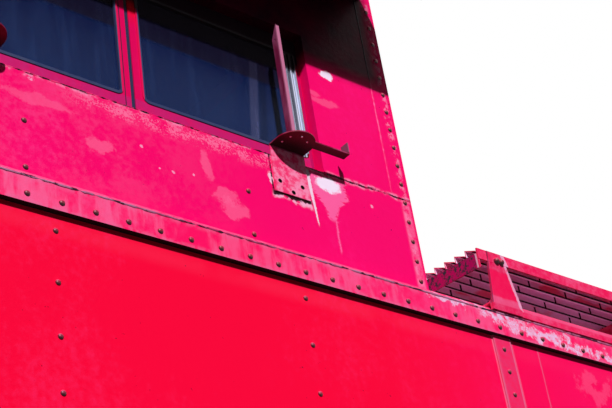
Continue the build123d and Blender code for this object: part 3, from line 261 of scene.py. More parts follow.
def torn(red, x, z, half_width, half_height, ragged=1.0, soft=0.18):
    """Where a side's paint is worn or torn off round a point: 1 inside and 0 outside, its edge ragged."""
    if not hasattr(red, "drift_x"):
        red.drift_x, red.drift_z = red.clouds(0.055, 5) - 0.5, red.clouds(0.047, 5) - 0.5
        red.nibble = red.clouds(0.007, 4, roughness=0.7) - 0.5
    drift = min(half_width, half_height) * 4 * ragged
    along = (red.x - x + red.drift_x * drift) / half_width
    up = (red.z - z + red.drift_z * drift) / half_height
    return (along * along + up * up + red.nibble * 2.2 * ragged).under(1, soft)


def speck(red, x, z, reach):
    """A small chip in the paint of a side, about as far across as twice its reach."""
    along, up = red.x - x, red.z - z
    return ((along * along + up * up) ** 0.5 + (red.mottle - 0.5) * reach * 6).under(reach, reach * 0.25)


body_red = red_enamel("body_red_enamel", "body_red", paint(252, 0, 58), paint(255, 30, 92), 0.34)
eave_fade = body_red.z.between(3.035, 3.08, 0.02) * body_red.clouds(0.22, 4).over(0.42, 0.14)
body_red.colour = body_red.mix(eave_fade * 0.1, body_red.colour, paint(255, 84, 128))
rosy_side = body_red.x.between(0.3, 2.2, 0.5) * body_red.z.over(1.9, 0.6)
body_red.colour = body_red.mix(rosy_side * 0.5, body_red.colour, paint(255, 0, 112))
run_down = body_red.clouds(0.02, 3, stretch=(1, 1, 8))
rain_lines = [0.3795, 0.4615, 0.5865, -2.3, 1.94, -3.6, 3.1]
rain_foot_z = 2.84
for line_x in rain_lines:
    from_line = abs(body_red.x - line_x + (run_down - 0.5) * 0.012)
    line = from_line.under(0.003, 0.0025) * body_red.z.over(rain_foot_z, 0.05) * run_down.over(0.42, 0.1)
    body_red.colour = body_red.mix(line * 0.7, body_red.colour, paint(236, 96, 140))
strip_places = (-2.0625, 0.4125, 2.8875)
strip_half = 0.0405
for strip_x in strip_places:
    from_strip = abs(body_red.x - strip_x)
    on_strip = from_strip.under(strip_half + 0.0015, 0.002) * abs(body_red.y).over(1.347, 0.002)
    strip_wear = on_strip * (0.35 + body_red.mottle.over(0.5, 0.15) * 0.4)
    body_red.colour = body_red.mix(strip_wear, body_red.colour, paint(232, 56, 112))
    strip_edge = abs(from_strip - strip_half).under(0.0045, 0.002) * body_red.z.over(1.12, 0.01)
    strip_edge = strip_edge * run_down.over(0.36, 0.1) * 0.6
    body_red.colour = body_red.mix(strip_edge, body_red.colour, paint(214, 128, 166))
pale_patch = torn(body_red, 0.863, 2.99, 0.1, 0.04, 1.6, soft=0.7)
body_red.colour = body_red.mix(pale_patch * 0.45, body_red.colour, paint(255, 84, 138))
sheet_seam_x = 0.592
seam_line = abs(body_red.x - sheet_seam_x).under(0.0022, 0.0012) * body_red.z.under(3.1, 0.01)
foot_dust = body_red.z.under(1.35, 0.3) * body_red.clouds(0.25, 5).over(0.42, 0.2)
body_red.colour = body_red.mix(foot_dust * 0.5, body_red.colour, paint(150, 88, 78))
foot_rust = body_red.z.under(1.1, 0.06) * body_red.clouds(0.06, 5).over(0.5, 0.08)
body_red.colour = body_red.mix(foot_rust, body_red.colour, paint(96, 44, 34))
inner_x, inner_y = 4.479, 1.2865
inside = abs(body_red.y).under(inner_y, 0.001) * abs(body_red.x).under(inner_x, 0.001)
inside = inside * body_red.z.between(1.23, 3.15, 0.005)
body_red.colour = body_red.mix(inside, body_red.colour, paint(128, 146, 132))
body_skin = body_red.skin - seam_line * 0.8
body_red.surface(body_red.colour, body_red.rough, body_skin, 0.0012, Specular_IOR_Level=0.05)
body_red.on("side_left", "side_right", "end_wall_a", "end_wall_b")


def piece(name, corners, faces, finish):
    """A smooth mesh of one finish that rides on the car."""
    mesh = bpy.data.meshes.new(name)
    mesh.from_pydata(corners, [], faces)
    mesh.materials.append(finish.material)
    mesh.shade_smooth()
    made = bpy.data.objects.new(name, mesh)
    bpy.context.scene.collection.objects.link(made)
    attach(made, "car")


def heads(name, centres, outward, radius, height, finish):
    """Domed heads of rivets or bolts on a face that looks outward."""
    sides, rings, sunk = 14, 4, 0.001
    outward = Vector(outward).normalized()
    across = outward.orthogonal().normalized()
    upward = outward.cross(across)
    corners, faces = [], []
    for centre in centres:
        first = len(corners)
        for ring in range(rings):
            lift = math.pi / 2 * ring / rings
            reach = radius * math.cos(lift)
            rise = height * math.sin(lift) - (sunk if ring == 0 else 0)
            for side in range(sides):
                turn = 2 * math.pi * side / sides
                offset = across * (reach * math.cos(turn)) + upward * (reach * math.sin(turn))
                corners.append(Vector(centre) + offset + outward * rise)
        top = len(corners)
        corners.append(Vector(centre) + outward * height)
        for ring in range(rings - 1):
            for side in range(sides):
                near, far = first + ring * sides, first + (ring + 1) * sides
                after = (side + 1) % sides
                faces.append((near + side, near + after, far + after, far + side))
        last = first + (rings - 1) * sides
        faces += [(last + side, last + (side + 1) % sides, top) for side in range(sides)]
    piece(name, corners, faces, finish)


rivet_red = red_enamel("rivet_red", "body_red", paint(150, 0, 40), paint(120, 16, 58), 0.5)
# The heads are painted lighter on top as a highlight and near-black underneath as shade.
rivet_top_highlight = rivet_red.facing_z.over(0.35, 0.25)
rivet_red.colour = rivet_red.mix(rivet_top_highlight * 0.7, rivet_red.colour, paint(255, 74, 128))
rivet_under_shade = rivet_red.facing_z.under(-0.3, 0.25)
rivet_red.colour = rivet_red.mix(rivet_under_shade, rivet_red.colour, paint(44, 4, 18))
rivet_red.surface(rivet_red.colour, 0.4, rivet_red.skin, 0.0008, Specular_IOR_Level=0.4)

hands = ((-1, "left"), (1, "right"))
rivet_radius, rivet_height = 0.0085, 0.006
side_face, strip_face, foot_face = 1.345, 1.350, 1.353
window_places, window_half, window_low_z, window_high_z = (-3.3, 1.65, 3.3), 0.36, 1.76, 2.56
plain_posts = [x for x in columns[1:-1] if x not in strip_places]
post_rows = [belt_row_z - 0.077 - 0.153 * row for row in range(13)]
strip_rows = [belt_row_z - 0.071 - 0.081 * row for row in range(25)]
foot_row = [rivet_pitch * number - 4.42 for number in range(88)]
foot_row_z = 1.078


def in_window(x, z):
    by_window = any(abs(x - middle) < window_half for middle in window_places)
    return by_window and window_low_z < z < window_high_z


for hand, label in hands:
    outward = (0, hand, 0)
    post_rivets = [(x, hand * side_face, z) for x in plain_posts for z in post_rows if not in_window(x, z)]
    heads(f"post_rivets_{label}", post_rivets, outward, rivet_radius, rivet_height, rivet_red)
    strip_rivets = [(x, hand * strip_face, z) for x in strip_places for z in strip_rows]
    heads(f"strip_rivets_{label}", strip_rivets, outward, rivet_radius, rivet_height, rivet_red)
    foot_rivets = [(x, hand * foot_face, foot_row_z) for x in foot_row]
    heads(f"foot_rivets_{label}", foot_rivets, outward, rivet_radius, rivet_height, rivet_red)


# The letterboards are plates riveted along the eaves at a four inch pitch, their top edge bevelled to the
# roof and bedded in caulk. Their red has bleached to rose, and it flakes to a pale lilac primer along the
# edges.
belt_low_z, belt_flat_z = 3.099, 3.181
belt_face = 1.365
belt = red_enamel("letterboard_rose", "belt_rose", paint(255, 10, 98), paint(254, 68, 136), 0.46)
run_marks = belt.clouds(0.028, 5, stretch=(1, 1, 5))
washed = (run_marks * 0.6 + belt.clouds(0.25, 4) * 0.6).over(0.62, 0.07)
washed = washed * (0.36 + belt.x.under(-0.9, 0.7) * 0.2)
belt.colour = belt.mix(washed, belt.colour, paint(250, 112, 166))
worn_edge = belt.z.over(belt_flat_z - 0.01, 0.012) | belt.z.under(belt_low_z + 0.008, 0.008)
belt.colour = belt.mix(worn_edge * belt.mottle.over(0.46, 0.08) * 0.5, belt.colour, paint(224, 112, 158))
# The bevel is painted lighter pink as a highlight, in patches like wear.
bevel_highlight_and_wear = belt.z.over(belt_flat_z + 0.002, 0.002) * belt.clouds(0.1, 5).over(0.45, 0.1)
belt.colour = belt.mix(bevel_highlight_and_wear * 0.5, belt.colour, paint(255, 60, 118))
chip_runs = [
    (0.228, 3.186, 0.13, 0.016), (0.43, 3.165, 0.1, 0.02), (0.6, 3.138, 0.17, 0.016),
    (0.86, 3.128, 0.17, 0.013), (1.6, 3.14, 0.25, 0.016), (-3.2, 3.135, 0.3, 0.02),
    (-2.2, 3.12, 0.25, 0.014),
]
for x, z, half_width, half_height in chip_runs:
    chips = torn(belt, x, z, half_width, half_height, 2.4, soft=1.1) * belt.mottle.over(0.44, 0.14)
    belt.colour = belt.mix(chips * 0.85, belt.colour, paint(232, 204, 242))
# The letterboard's underside is painted near-black as shade.
belt_underside_shade = belt.facing_z.under(-0.4, 0.2)
belt.colour = belt.mix(belt_underside_shade, belt.colour, paint(20, 6, 12))
belt.surface(belt.colour, belt.rough, belt.skin, 0.0016, Specular_IOR_Level=0.08)
belt.on("letterboards")

row_half = 4.5
row = [rivet_row_x + rivet_pitch * number for number in range(-32, 58)]
for hand, label in hands:
    row_rivets = [(x, hand * belt_face, belt_row_z) for x in row if abs(x) < row_half]
    heads(f"letterboard_rivets_{label}", row_rivets, (0, hand, 0), 0.0093, 0.0065, rivet_red)


def bead(name, ends, out, width, swell, finish, gaps=0.0, seed=1):
    """A hand-laid bead of caulk or weld between two points on a face that looks out."""
    draw = random.Random(seed)
    start, end = (Vector(point) for point in ends)
    out = Vector(out).normalized()
    run = end - start
    step = 0.012
    count = max(2, int(run.length / step))
    across = run.normalized().cross(out)
    section = [(-1.0, -0.15), (-0.62, 0.62), (0.0, 1.0), (0.62, 0.62), (1.0, -0.15)]
    corners, faces = [], []
    for number in range(count + 1):
        middle = start + run * (number / count) + across * draw.uniform(-0.18, 0.18) * width
        size = draw.uniform(0.72, 1.15) * (0.25 if draw.random() < gaps else 1)
        corners += [middle + across * (a * width * size) + out * (b * swell * size) for a, b in section]
    wide = len(section)
    for number in range(count):
        near, far = number * wide, (number + 1) * wide
        faces += [(near + k, near + k + 1, far + k + 1, far + k) for k in range(wide - 1)]
    piece(name, corners, faces, finish)


caulk = red_enamel("painted_caulk", "belt_rose", paint(184, 52, 104), paint(190, 130, 170), 0.55)
caulk_cracks = caulk.clouds(0.02, 5, stretch=(2, 1, 1)).over(0.56, 0.04)
caulk.colour = caulk.mix(caulk_cracks, caulk.colour, paint(74, 30, 56))
caulk.surface(caulk.colour, 0.7, caulk.skin - caulk_cracks, 0.003, Specular_IOR_Level=0.1)
caulk_half = 4.53
for hand, label in hands:
    ends = ((-caulk_half, hand * belt_face, belt_flat_z), (caulk_half, hand * belt_face, belt_flat_z))
    bead(f"letterboard_caulk_{label}", ends, (0, hand, 0.5), 0.0042, 0.003, caulk, 0.12, seed=4)


# The doors are steel leaves in the letterboards' rose red, each hung inside on two lift-off hinges and
# fitted with a window and a lever handle. Boots have scraped their feet brown.
door_red = red_enamel("door_red", "belt_rose", paint(232, 4, 62), paint(248, 64, 116), 0.42)
kicked = door_red.z.under(1.62, 0.1) * door_red.clouds(0.05, 5).over(0.55, 0.08)
door_red.colour = door_red.mix(kicked * 0.8, door_red.colour, paint(120, 54, 52))
door_red.surface(door_red.colour, door_red.rough, door_red.skin, 0.0012, Specular_IOR_Level=0.08)
door_red.on("door_a", "door_b")


# The body windows sit in drawn aluminium frames, dull and spotted with white oxide, and their panes carry a
# film of dust that is thicker at the foot.
aluminium = Finish("dull_aluminium", "sash_aluminium")
oxide = aluminium.clouds(0.012, 5).over(0.58, 0.08)
metal_colour = aluminium.mix(oxide * 0.6, paint(150, 152, 158), paint(196, 198, 200))
metal_dirt = aluminium.clouds(0.2).over(0.55, 0.1)
metal_colour = aluminium.mix(metal_dirt * 0.4, metal_colour, paint(104, 100, 102))
aluminium.surface(metal_colour, 0.42 + oxide * 0.3, aluminium.clouds(0.003, 2), 0.0003, Metallic=0.85)
aluminium.on("body_window_frames")


def pane_glass(name, foot_z, height):
    """Glass with a film of dust: dark blue where it is clean, a painted reflection of the sky, and paler
    and less clear towards its foot.
    """
    glass = Finish(name, "pane")
    glass.skin = glass.clouds(0.25, 4) * 0.6 + glass.clouds(0.02, 5) * 0.4
    low = glass.z.under(foot_z + height * 0.45, height * 0.5)
    glass.smears = glass.clouds(0.03, 4, stretch=(1, 1, 9)).over(0.56, 0.12)
    dust = low * 0.3 + (glass.skin - 0.4) * 0.6 + glass.smears * 0.12
    glass.colour = glass.mix(dust, paint(2, 14, 62), paint(50, 72, 122))
    glass.rough = 0.16 + dust * 0.3
    glass.solid = 0.6 + dust * 0.3
    return glass


def glazed(glass):
    """The pane's shader, once its colour, roughness and alpha are complete."""
    return glass.surface(
        glass.colour, glass.rough, glass.skin, 0.0002, Alpha=glass.solid, Specular_IOR_Level=0.06
    )


body_pane = pane_glass("body_pane", 1.83, 0.65)
glazed(body_pane).on("body_window_glass", "door_glass_a", "door_glass_b")


# The roof is welded steel sheet over arched carlines, in the same red, chalky on top and sooty around the
# smoke jack. Under the walks it is painted near-white, so that it throws light up onto the slats.
# The jack is rolled stovepipe with a cap, rusted brown by heat.
roof_red = red_enamel("roof_red", "body_red", paint(224, 4, 56), paint(238, 84, 120), 0.55)
chalk = roof_red.facing_z.over(0.6, 0.3) * roof_red.clouds(0.6, 5).over(0.45, 0.15)
roof_red.colour = roof_red.mix(chalk * 0.6, roof_red.colour, paint(224, 150, 166))
middle_x, walks_from_middle, walks_from_y = -0.93, 1.28, 0.78
# Near-white under the walks: painted so that it throws light up onto the slats' undersides.
reflector_under_walks = abs(roof_red.x - middle_x).over(walks_from_middle, 0.02)
reflector_under_walks = reflector_under_walks * abs(roof_red.y).over(walks_from_y, 0.05) * roof_red.facing_z.over(0.5, 0.2)
roof_red.colour = roof_red.mix(reflector_under_walks * 0.92, roof_red.colour, paint(255, 222, 240))

jack_x, jack_y = 2.7, 0.64
from_jack_x, from_jack_y = roof_red.x - jack_x, roof_red.y - jack_y
soot_reach = (from_jack_x * from_jack_x + from_jack_y * from_jack_y) ** 0.5
soot_and_awning_shade = soot_reach.under(0.42, 0.35) * roof_red.clouds(0.12, 5).over(0.38, 0.2)
soot_and_awning_shade = soot_and_awning_shade * roof_red.facing_z.over(0, 0.1)
roof_red.colour = roof_red.mix(soot_and_awning_shade * 0.85, roof_red.colour, paint(44, 32, 32))
sheet_pitch = 1.65
sheet_seam = abs(roof_red.x % sheet_pitch - sheet_pitch / 2).under(0.012, 0.004)
lining = abs(roof_red.y).under(1.28, 0.002) * abs(roof_red.x).under(4.48, 0.002)
lining = lining * roof_red.facing_z.under(-0.3, 0.1)
lining_green = paint(132, 148, 134)
roof_red.colour = roof_red.mix(lining, roof_red.colour, lining_green)
roof_skin = roof_red.skin + sheet_seam * 0.9
roof_red.surface(roof_red.colour, roof_red.rough, roof_skin, 0.003, Specular_IOR_Level=0.08)
roof_red.on("roof")

stovepipe = Finish("rusty_stovepipe", "stove_iron")
pipe_rust = stovepipe.clouds(0.07, 6).over(0.5, 0.12)
pipe_colour = stovepipe.mix(pipe_rust, paint(52, 46, 45), paint(120, 68, 42))
stovepipe.surface(pipe_colour, 0.6 + pipe_rust * 0.3, stovepipe.clouds(0.01, 4), 0.001)
stovepipe.on("smoke_jack", "stove")


# The cupola is flush with the sides: crimson enamel on plates that are caulked under the sills and welded
# near the corners. Old touch-ups have dried pink, paint crumbles under the sill, and cracks follow the foot
# and one side of the wing bracket's leg.
cupola_red = red_enamel("cupola_crimson", "cupola_red", paint(250, 0, 106), paint(255, 30, 130), 0.32)
from_middle = abs(cupola_red.x - middle_x)
washed_left = cupola_red.x.under(-0.75, 0.3) * cupola_red.z.between(3.2, 3.56, 0.05)
washed_left = washed_left * (cupola_red.clouds(0.2, 5) + (cupola_red.mottle - 0.5)).over(0.5, 0.16)
cupola_red.colour = cupola_red.mix(washed_left * 0.2, cupola_red.colour, paint(255, 92, 146))
touch_ups = [
    (-1.0835, 3.370, 0.042, 0.024, 0.62),
    (-0.7225, 3.420, 0.018, 0.050, 0.6),
    (-0.6685, 3.330, 0.034, 0.030, 0.6),
    (-0.6385, 3.290, 0.055, 0.030, 0.62),
    (-1.2685, 3.455, 0.110, 0.018, 0.45),
    (-0.1985, 3.837, 0.058, 0.016, 0.5),
    (-0.2485, 3.860, 0.030, 0.010, 0.5),
]
outer_face = abs(cupola_red.y).over(1.3435, 0.0005)
for x, z, half_width, half_height, strength in touch_ups:
    touched = torn(cupola_red, x, z, half_width, half_height, 0.7, soft=0.4) * outer_face
    cupola_red.colour = cupola_red.mix(touched * strength, cupola_red.colour, paint(255, 96, 150))
bare_patches = [
    torn(cupola_red, -0.1635, 3.963, 0.030, 0.020, 0.6, soft=0.3),
    torn(cupola_red, -0.2400, 3.497, 0.054, 0.030, 0.45, soft=0.3),
    torn(cupola_red, -0.4775, 3.452, 0.010, 0.022, 1.2, soft=0.5) * 0.7,
]
specks = [
    (-0.9445, 3.410, 0.004), (-0.8885, 3.354, 0.003), (-0.8425, 3.357, 0.004), (-0.0675, 3.467, 0.004),
    (-0.77, 3.37, 0.003), (-0.3, 3.62, 0.003), (-1.29, 3.52, 0.007),
]
for x, z, reach in specks:
    chip = speck(cupola_red, x, z, reach)
    cupola_red.colour = cupola_red.mix(chip * 0.7, cupola_red.colour, paint(244, 170, 212))
fan_x, fan_foot_z, drip_x = -0.2455, 3.36, -0.2355
fan_half = 0.014 + (cupola_red.z - fan_foot_z) * 0.2 + cupola_red.z.over(3.43, 0.03) * 0.034
fan_edge = cupola_red.drift_x * 0.05 + cupola_red.clouds(0.006, 4, stretch=(3, 1, 1)) * 0.06 - 0.03
fan = (abs(cupola_red.x - fan_x) - fan_half + fan_edge).under(0, 0.005)
fan = fan * cupola_red.z.between(3.362, 3.523, 0.01)
drip = abs(cupola_red.x - drip_x + fan_edge * 0.2).under(0.003, 0.003)
drip = drip * cupola_red.z.between(3.25, 3.37, 0.01)
cupola_red.colour = cupola_red.mix((fan | drip) * 0.62, cupola_red.colour, paint(255, 118, 184))
edge_x, edge_foot_z, edge_head_z = -0.3255, 3.33, 3.53
from_edge = abs(cupola_red.x - edge_x - (3.52 - cupola_red.z) * 0.08 + cupola_red.nibble * 0.008)
white_edge = (from_edge - (cupola_red.z - edge_foot_z) * 0.035).under(0.002, 0.002)
white_edge = white_edge * cupola_red.z.between(edge_foot_z, edge_head_z, 0.01)
cupola_red.colour = cupola_red.mix(white_edge * 0.9, cupola_red.colour, paint(244, 220, 242))
for bare in bare_patches:
    cupola_red.colour = cupola_red.mix(bare, cupola_red.colour, paint(248, 226, 250))
corner_flakes = cupola_red.clouds(0.03, 5) + cupola_red.nibble * 0.5
corner_specks = from_middle.between(1.008, 1.034, 0.006) * corner_flakes.over(0.56, 0.05)
cupola_red.colour = cupola_red.mix(corner_specks * 0.6, cupola_red.colour, paint(252, 150, 192))
corner_wash = from_middle.between(1.004, 1.04, 0.006) * cupola_red.z.under(3.52, 0.02)
corner_wash = corner_wash * corner_flakes.over(0.38, 0.1)
cupola_red.colour = cupola_red.mix(corner_wash * 0.5, cupola_red.colour, paint(255, 118, 170))
seam_z = belt_row_z + 0.415
from_seam = cupola_red.z - seam_z + cupola_red.drift_z * 0.02 + cupola_red.nibble * 0.008
seam_pieces = cupola_red.clouds(0.05, 4, stretch=(1.6, 1, 1))
seam_chalk = abs(from_seam).under(0.01, 0.006) * seam_pieces.over(0.47, 0.06)
seam_chalk = seam_chalk * cupola_red.mottle.over(0.48, 0.1)
cupola_red.colour = cupola_red.mix(seam_chalk * 0.7, cupola_red.colour, paint(252, 160, 202))
seam_crack = abs(from_seam).under(0.0032, 0.002) * (seam_pieces + cupola_red.nibble * 0.3).over(0.5, 0.04)
cupola_red.colour = cupola_red.mix(seam_crack, cupola_red.colour, paint(24, 4, 14))
sill_crumbs = cupola_red.z.between(3.485, 3.536, 0.022) * cupola_red.x.between(-1.15, -0.42, 0.1)
sill_crumbs = sill_crumbs * (cupola_red.nibble * 1.2 + seam_pieces).over(0.52, 0.06)
cupola_red.colour = cupola_red.mix(sill_crumbs * 0.6, cupola_red.colour, paint(255, 130, 176))
leg_x, leg_half, leg_foot_z, leg_side_x = -0.4015, 0.076, 3.402, -0.4735
under_leg = cupola_red.z - leg_foot_z + cupola_red.drift_x * 0.05 + cupola_red.nibble * 0.012
by_leg = abs(cupola_red.x - leg_x).under(leg_half, 0.006)
crack_lumps = abs(under_leg + 0.008).under(0.012, 0.005) * by_leg * cupola_red.mottle.over(0.46, 0.06)
cupola_red.colour = cupola_red.mix(crack_lumps * 0.8, cupola_red.colour, paint(244, 190, 222))
foot_crack = abs(under_leg).under(0.0078, 0.003) * by_leg
side_crack = abs(cupola_red.x - leg_side_x + cupola_red.nibble * 0.008).under(0.003, 0.002)
side_crack = side_crack * cupola_red.z.between(3.4, 3.575, 0.01) * seam_pieces.over(0.46, 0.05)
cupola_red.colour = cupola_red.mix(foot_crack | side_crack, cupola_red.colour, paint(34, 8, 16))
leg_holes = ((-0.4455, 3.448), (-0.3575, 3.450), (-0.3975, 3.419))
# The wall seen through the leg's bolt holes is painted black as shade.
for x, z in leg_holes:
    shaded_hole = ((cupola_red.x - x) ** 2 + (cupola_red.z - z) ** 2).under(0.0085 ** 2, 0.00001)
    cupola_red.colour = cupola_red.mix(shaded_hole, cupola_red.colour, paint(10, 4, 8))
# The cupola wall under the awning, above its shadow line, is painted near-black as shade.
awning_shade_tone = 0.86 + cupola_red.clouds(0.15, 5) * 0.2
soot_and_awning_shade = cupola_red.z.over(4.0, 0.05) * abs(cupola_red.y).over(1.2, 0.01) * awning_shade_tone
soot_and_awning_shade = soot_and_awning_shade * from_middle.under(1.02, 0.04) * cupola_red.z.under(4.42, 0.03)
cupola_red.colour = cupola_red.mix(soot_and_awning_shade, cupola_red.colour, paint(18, 0, 14))
cupola_inside = abs(cupola_red.y).under(inner_y, 0.001) * from_middle.under(0.992, 0.001)
cupola_inside = cupola_inside * cupola_red.z.under(4.49, 0.003)
cupola_red.colour = cupola_red.mix(cupola_inside, cupola_red.colour, lining_green)
cupola_skin = cupola_red.skin - seam_crack * 1.5
cupola_red.surface(cupola_red.colour, cupola_red.rough, cupola_skin, 0.002, Specular_IOR_Level=0.05)
cupola_red.on("cupola_side_left", "cupola_side_right", "cupola_ends", "cupola_roof")

weld_red = red_enamel("weld_red", "cupola_red", paint(246, 0, 104), paint(252, 120, 178), 0.42)
# The weld under the awning is painted near-black as shade.
weld_awning_shade = weld_red.z.between(4.0, 4.42, 0.04)
weld_red.colour = weld_red.mix(weld_awning_shade, weld_red.colour, paint(18, 0, 14))
weld_red.surface(weld_red.colour, 0.5, weld_red.clouds(0.004, 3), 0.001, Specular_IOR_Level=0.08)
cracked = red_enamel("sill_caulk", "cupola_red", paint(244, 0, 100), paint(252, 110, 164), 0.42)
crack = cracked.clouds(0.03, 5, stretch=(1.5, 1, 1)).over(0.5, 0.03)
cracked.colour = cracked.mix(crack, cracked.colour, paint(22, 4, 12))
cracked.surface(cracked.colour, 0.7, cracked.skin - crack, 0.003, Specular_IOR_Level=0.1)
edge_row, edge_pitch, weld_from_middle, weld_top_z = 1.0205, 0.0745, 0.9695, 4.47
seam_runs = ((-1.97, -0.4825), (-0.2845, 0.115))
for hand, label in hands:
    face_y = hand * side_face
    outward = (0, hand, 0)
    sheet_rivets = [
        (rivet_row_x + across, face_y, belt_row_z + up)
        for across in (0.010, 0.754)
        for up in (0.097, 0.248)
    ]
    edge_rivets = [
        (middle_x + side * edge_row, face_y, belt_row_z + 0.105 + edge_pitch * number)
        for side in (1, -1)
        for number in range(17)
    ]
    heads(f"cupola_rivets_{label}", sheet_rivets + edge_rivets, outward, 0.0088, 0.006, rivet_red)
    for side, end in ((1, "b"), (-1, "a")):
        weld_x = middle_x + side * weld_from_middle
        weld = ((weld_x, face_y, belt_row_z + 0.43), (weld_x, face_y, weld_top_z))
        bead(f"corner_weld_{label}_{end}", weld, outward, 0.0035, 0.0016, weld_red, seed=7)
    for number, (start, end) in enumerate(seam_runs):
        seam = ((start, face_y, seam_z), (end, face_y, seam_z))
        bead(f"sill_seam_{label}_{number}", seam, outward, 0.0032, 0.0018, cracked, 0.5, seed=11 + number)


# The awnings are thin steel sheets over the cupola's side windows, bowed outward and fixed by a flange on
# the wall. They are crimson, and their undersides are painted near-black as shade.
awning_red = red_enamel("awning_red", "cupola_red", paint(214, 4, 56), paint(232, 70, 110), 0.5)
# The undersides are painted near-black as shade.
awning_underside_shade = awning_red.facing_z.under(-0.2, 0.2)
awning_red.colour = awning_red.mix(awning_underside_shade * 0.9, awning_red.colour, paint(16, 6, 10))
awning_red.surface(awning_red.colour, awning_red.rough, awning_red.skin, 0.001, Specular_IOR_Level=0.06)
awning_red.on("awnings")


# The cupola's side windows are recessed steel units in red, two to a side, each with a sliding aluminium
# sash. Ribbed tracks stand at the far side of each, with painted shade between the ribs. The glass is
# dusty, with the sash's stile behind it painted on, and a grey band and a black head painted on it as
# shade. Above the awning's shadow line, units and tracks are painted near-black as shade.
unit_red = red_enamel("window_unit_red", "body_red", paint(222, 0, 88), paint(226, 44, 120), 0.4)
sill_band = unit_red.z.under(3.615, 0.004) * unit_red.clouds(0.1, 4).over(0.4, 0.15)
unit_red.colour = unit_red.mix(sill_band * 0.6, unit_red.colour, paint(176, 36, 116))
post_width = 0.045
scarlet_post = unit_red.x.between(middle_x, middle_x + post_width, 0.001) * unit_red.z.over(3.93, 0.05)
unit_red.colour = unit_red.mix(scarlet_post * 0.85, unit_red.colour, paint(240, 4, 26))
from_unit_middle = abs(unit_red.x - middle_x)
by_jamb = from_unit_middle.over(0.667, 0.002)
unit_red.colour = unit_red.mix(by_jamb * 0.8, unit_red.colour, paint(164, 10, 88))
sash_edge = abs(from_unit_middle - 0.0265).under(0.0016, 0.0008) * unit_red.x.under(middle_x, 0.001)
unit_red.colour = unit_red.mix(sash_edge, unit_red.colour, paint(44, 30, 60))
# The units above the awning's shadow line are painted near-black as shade.
unit_awning_shade = unit_red.z.over(3.99, 0.02)
unit_red.colour = unit_red.mix(unit_awning_shade, unit_red.colour, paint(12, 0, 8))
unit_red.surface(unit_red.colour, unit_red.rough, unit_red.skin, 0.001, Specular_IOR_Level=0.05)
unit_red.on("cupola_window_units")

track_metal = Finish("sooty_track", "sash_aluminium")
track_grime = track_metal.clouds(0.05, 5, stretch=(1, 1, 5)).over(0.52, 0.15)
# The tracks above the awning's shadow line are painted near-black as shade.
track_awning_shade = track_metal.z.over(3.965, 0.012)
from_mullion = abs(track_metal.x - middle_x)
first_rib, rib_pitch = 0.592, 0.0125
in_tracks = from_mullion.over(0.575, 0.004)
track_colour = track_metal.mix(in_tracks, paint(44, 54, 92), paint(206, 214, 238))
track_colour = track_metal.mix(track_grime * 0.6, track_colour, paint(64, 70, 100))
# Dark stripes between the ribs are painted shade.
rib_shade = ((from_mullion - first_rib) % rib_pitch).under(0.0048, 0.0012) * in_tracks
track_colour = track_metal.mix(rib_shade * 0.9, track_colour, paint(26, 24, 42))
painted_edge = from_mullion.between(0.6565, 0.67, 0.001) | from_mullion.between(0.02, 0.0385, 0.0005)
track_colour = track_metal.mix(painted_edge, track_colour, paint(222, 0, 84))
mullion = from_mullion.under(0.012, 0.001)
track_colour = track_metal.mix(mullion * 0.9, track_colour, paint(34, 40, 70))
track_colour = track_metal.mix(track_awning_shade, track_colour, paint(10, 4, 10))
track_skin = track_metal.clouds(0.004, 3)
track_metal.surface(track_colour, 0.5 + track_grime * 0.2, track_skin, 0.0004, Specular_IOR_Level=0.15)
track_metal.on("cupola_window_frames")

cupola_pane = pane_glass("cupola_pane", 3.623, 0.42)
# The sash's stile behind the pane and a dark band beside it are painted on the glass.
stile_from_middle, stile_foot_z, stile_lean = 0.456, 3.65, 0.11
from_stile = abs(cupola_pane.x - middle_x) - stile_from_middle - (cupola_pane.z - stile_foot_z) * stile_lean
stile_through_glass = abs(from_stile).under(0.016, 0.004) * cupola_pane.z.between(3.6, 3.95, 0.01)
stile_through_glass = stile_through_glass * (0.25 + cupola_pane.smears * 0.2)
cupola_pane.colour = cupola_pane.mix(stile_through_glass, cupola_pane.colour, paint(104, 104, 146))
dark_beside_stile = from_stile.between(0.02, 0.05, 0.006) * cupola_pane.z.over(3.6, 0.01)
cupola_pane.colour = cupola_pane.mix(dark_beside_stile * 0.4, cupola_pane.colour, paint(6, 8, 18))
# A grey band and a black head at the top of the panes are painted shade.
pane_shade_band = cupola_pane.z.over(3.872, 0.008)
cupola_pane.colour = cupola_pane.mix(pane_shade_band * 0.8, cupola_pane.colour, paint(22, 16, 26))
pane_shaded_head = cupola_pane.z.over(3.955, 0.006)
cupola_pane.colour = cupola_pane.mix(pane_shaded_head * 0.9, cupola_pane.colour, paint(8, 2, 8))
cupola_pane.rough = cupola_pane.rough + pane_shaded_head * 0.4
cupola_pane.solid = cupola_pane.solid + pane_shade_band * 0.3
glazed(cupola_pane).on("cupola_window_glass")


# Each wing bracket is a plate bent at the sill: a quadrant with four set holes and an arm, and a leg that
# lies on the side below. The wing is the folded bar that held a pane. Both are dull maroon, but the leg is
# in a worn red. Undersides are painted darker as shade, near-black at the wall, and so are the leg's bolt
# holes; the wing's lip is lighter with wear and a painted highlight.
maroon = Finish("dull_maroon", "worn_maroon")
maroon_wear = maroon.clouds(0.05, 6).over(0.54, 0.1)
maroon_colour = maroon.mix(maroon_wear * 0.7, paint(132, 8, 48), paint(176, 70, 112))
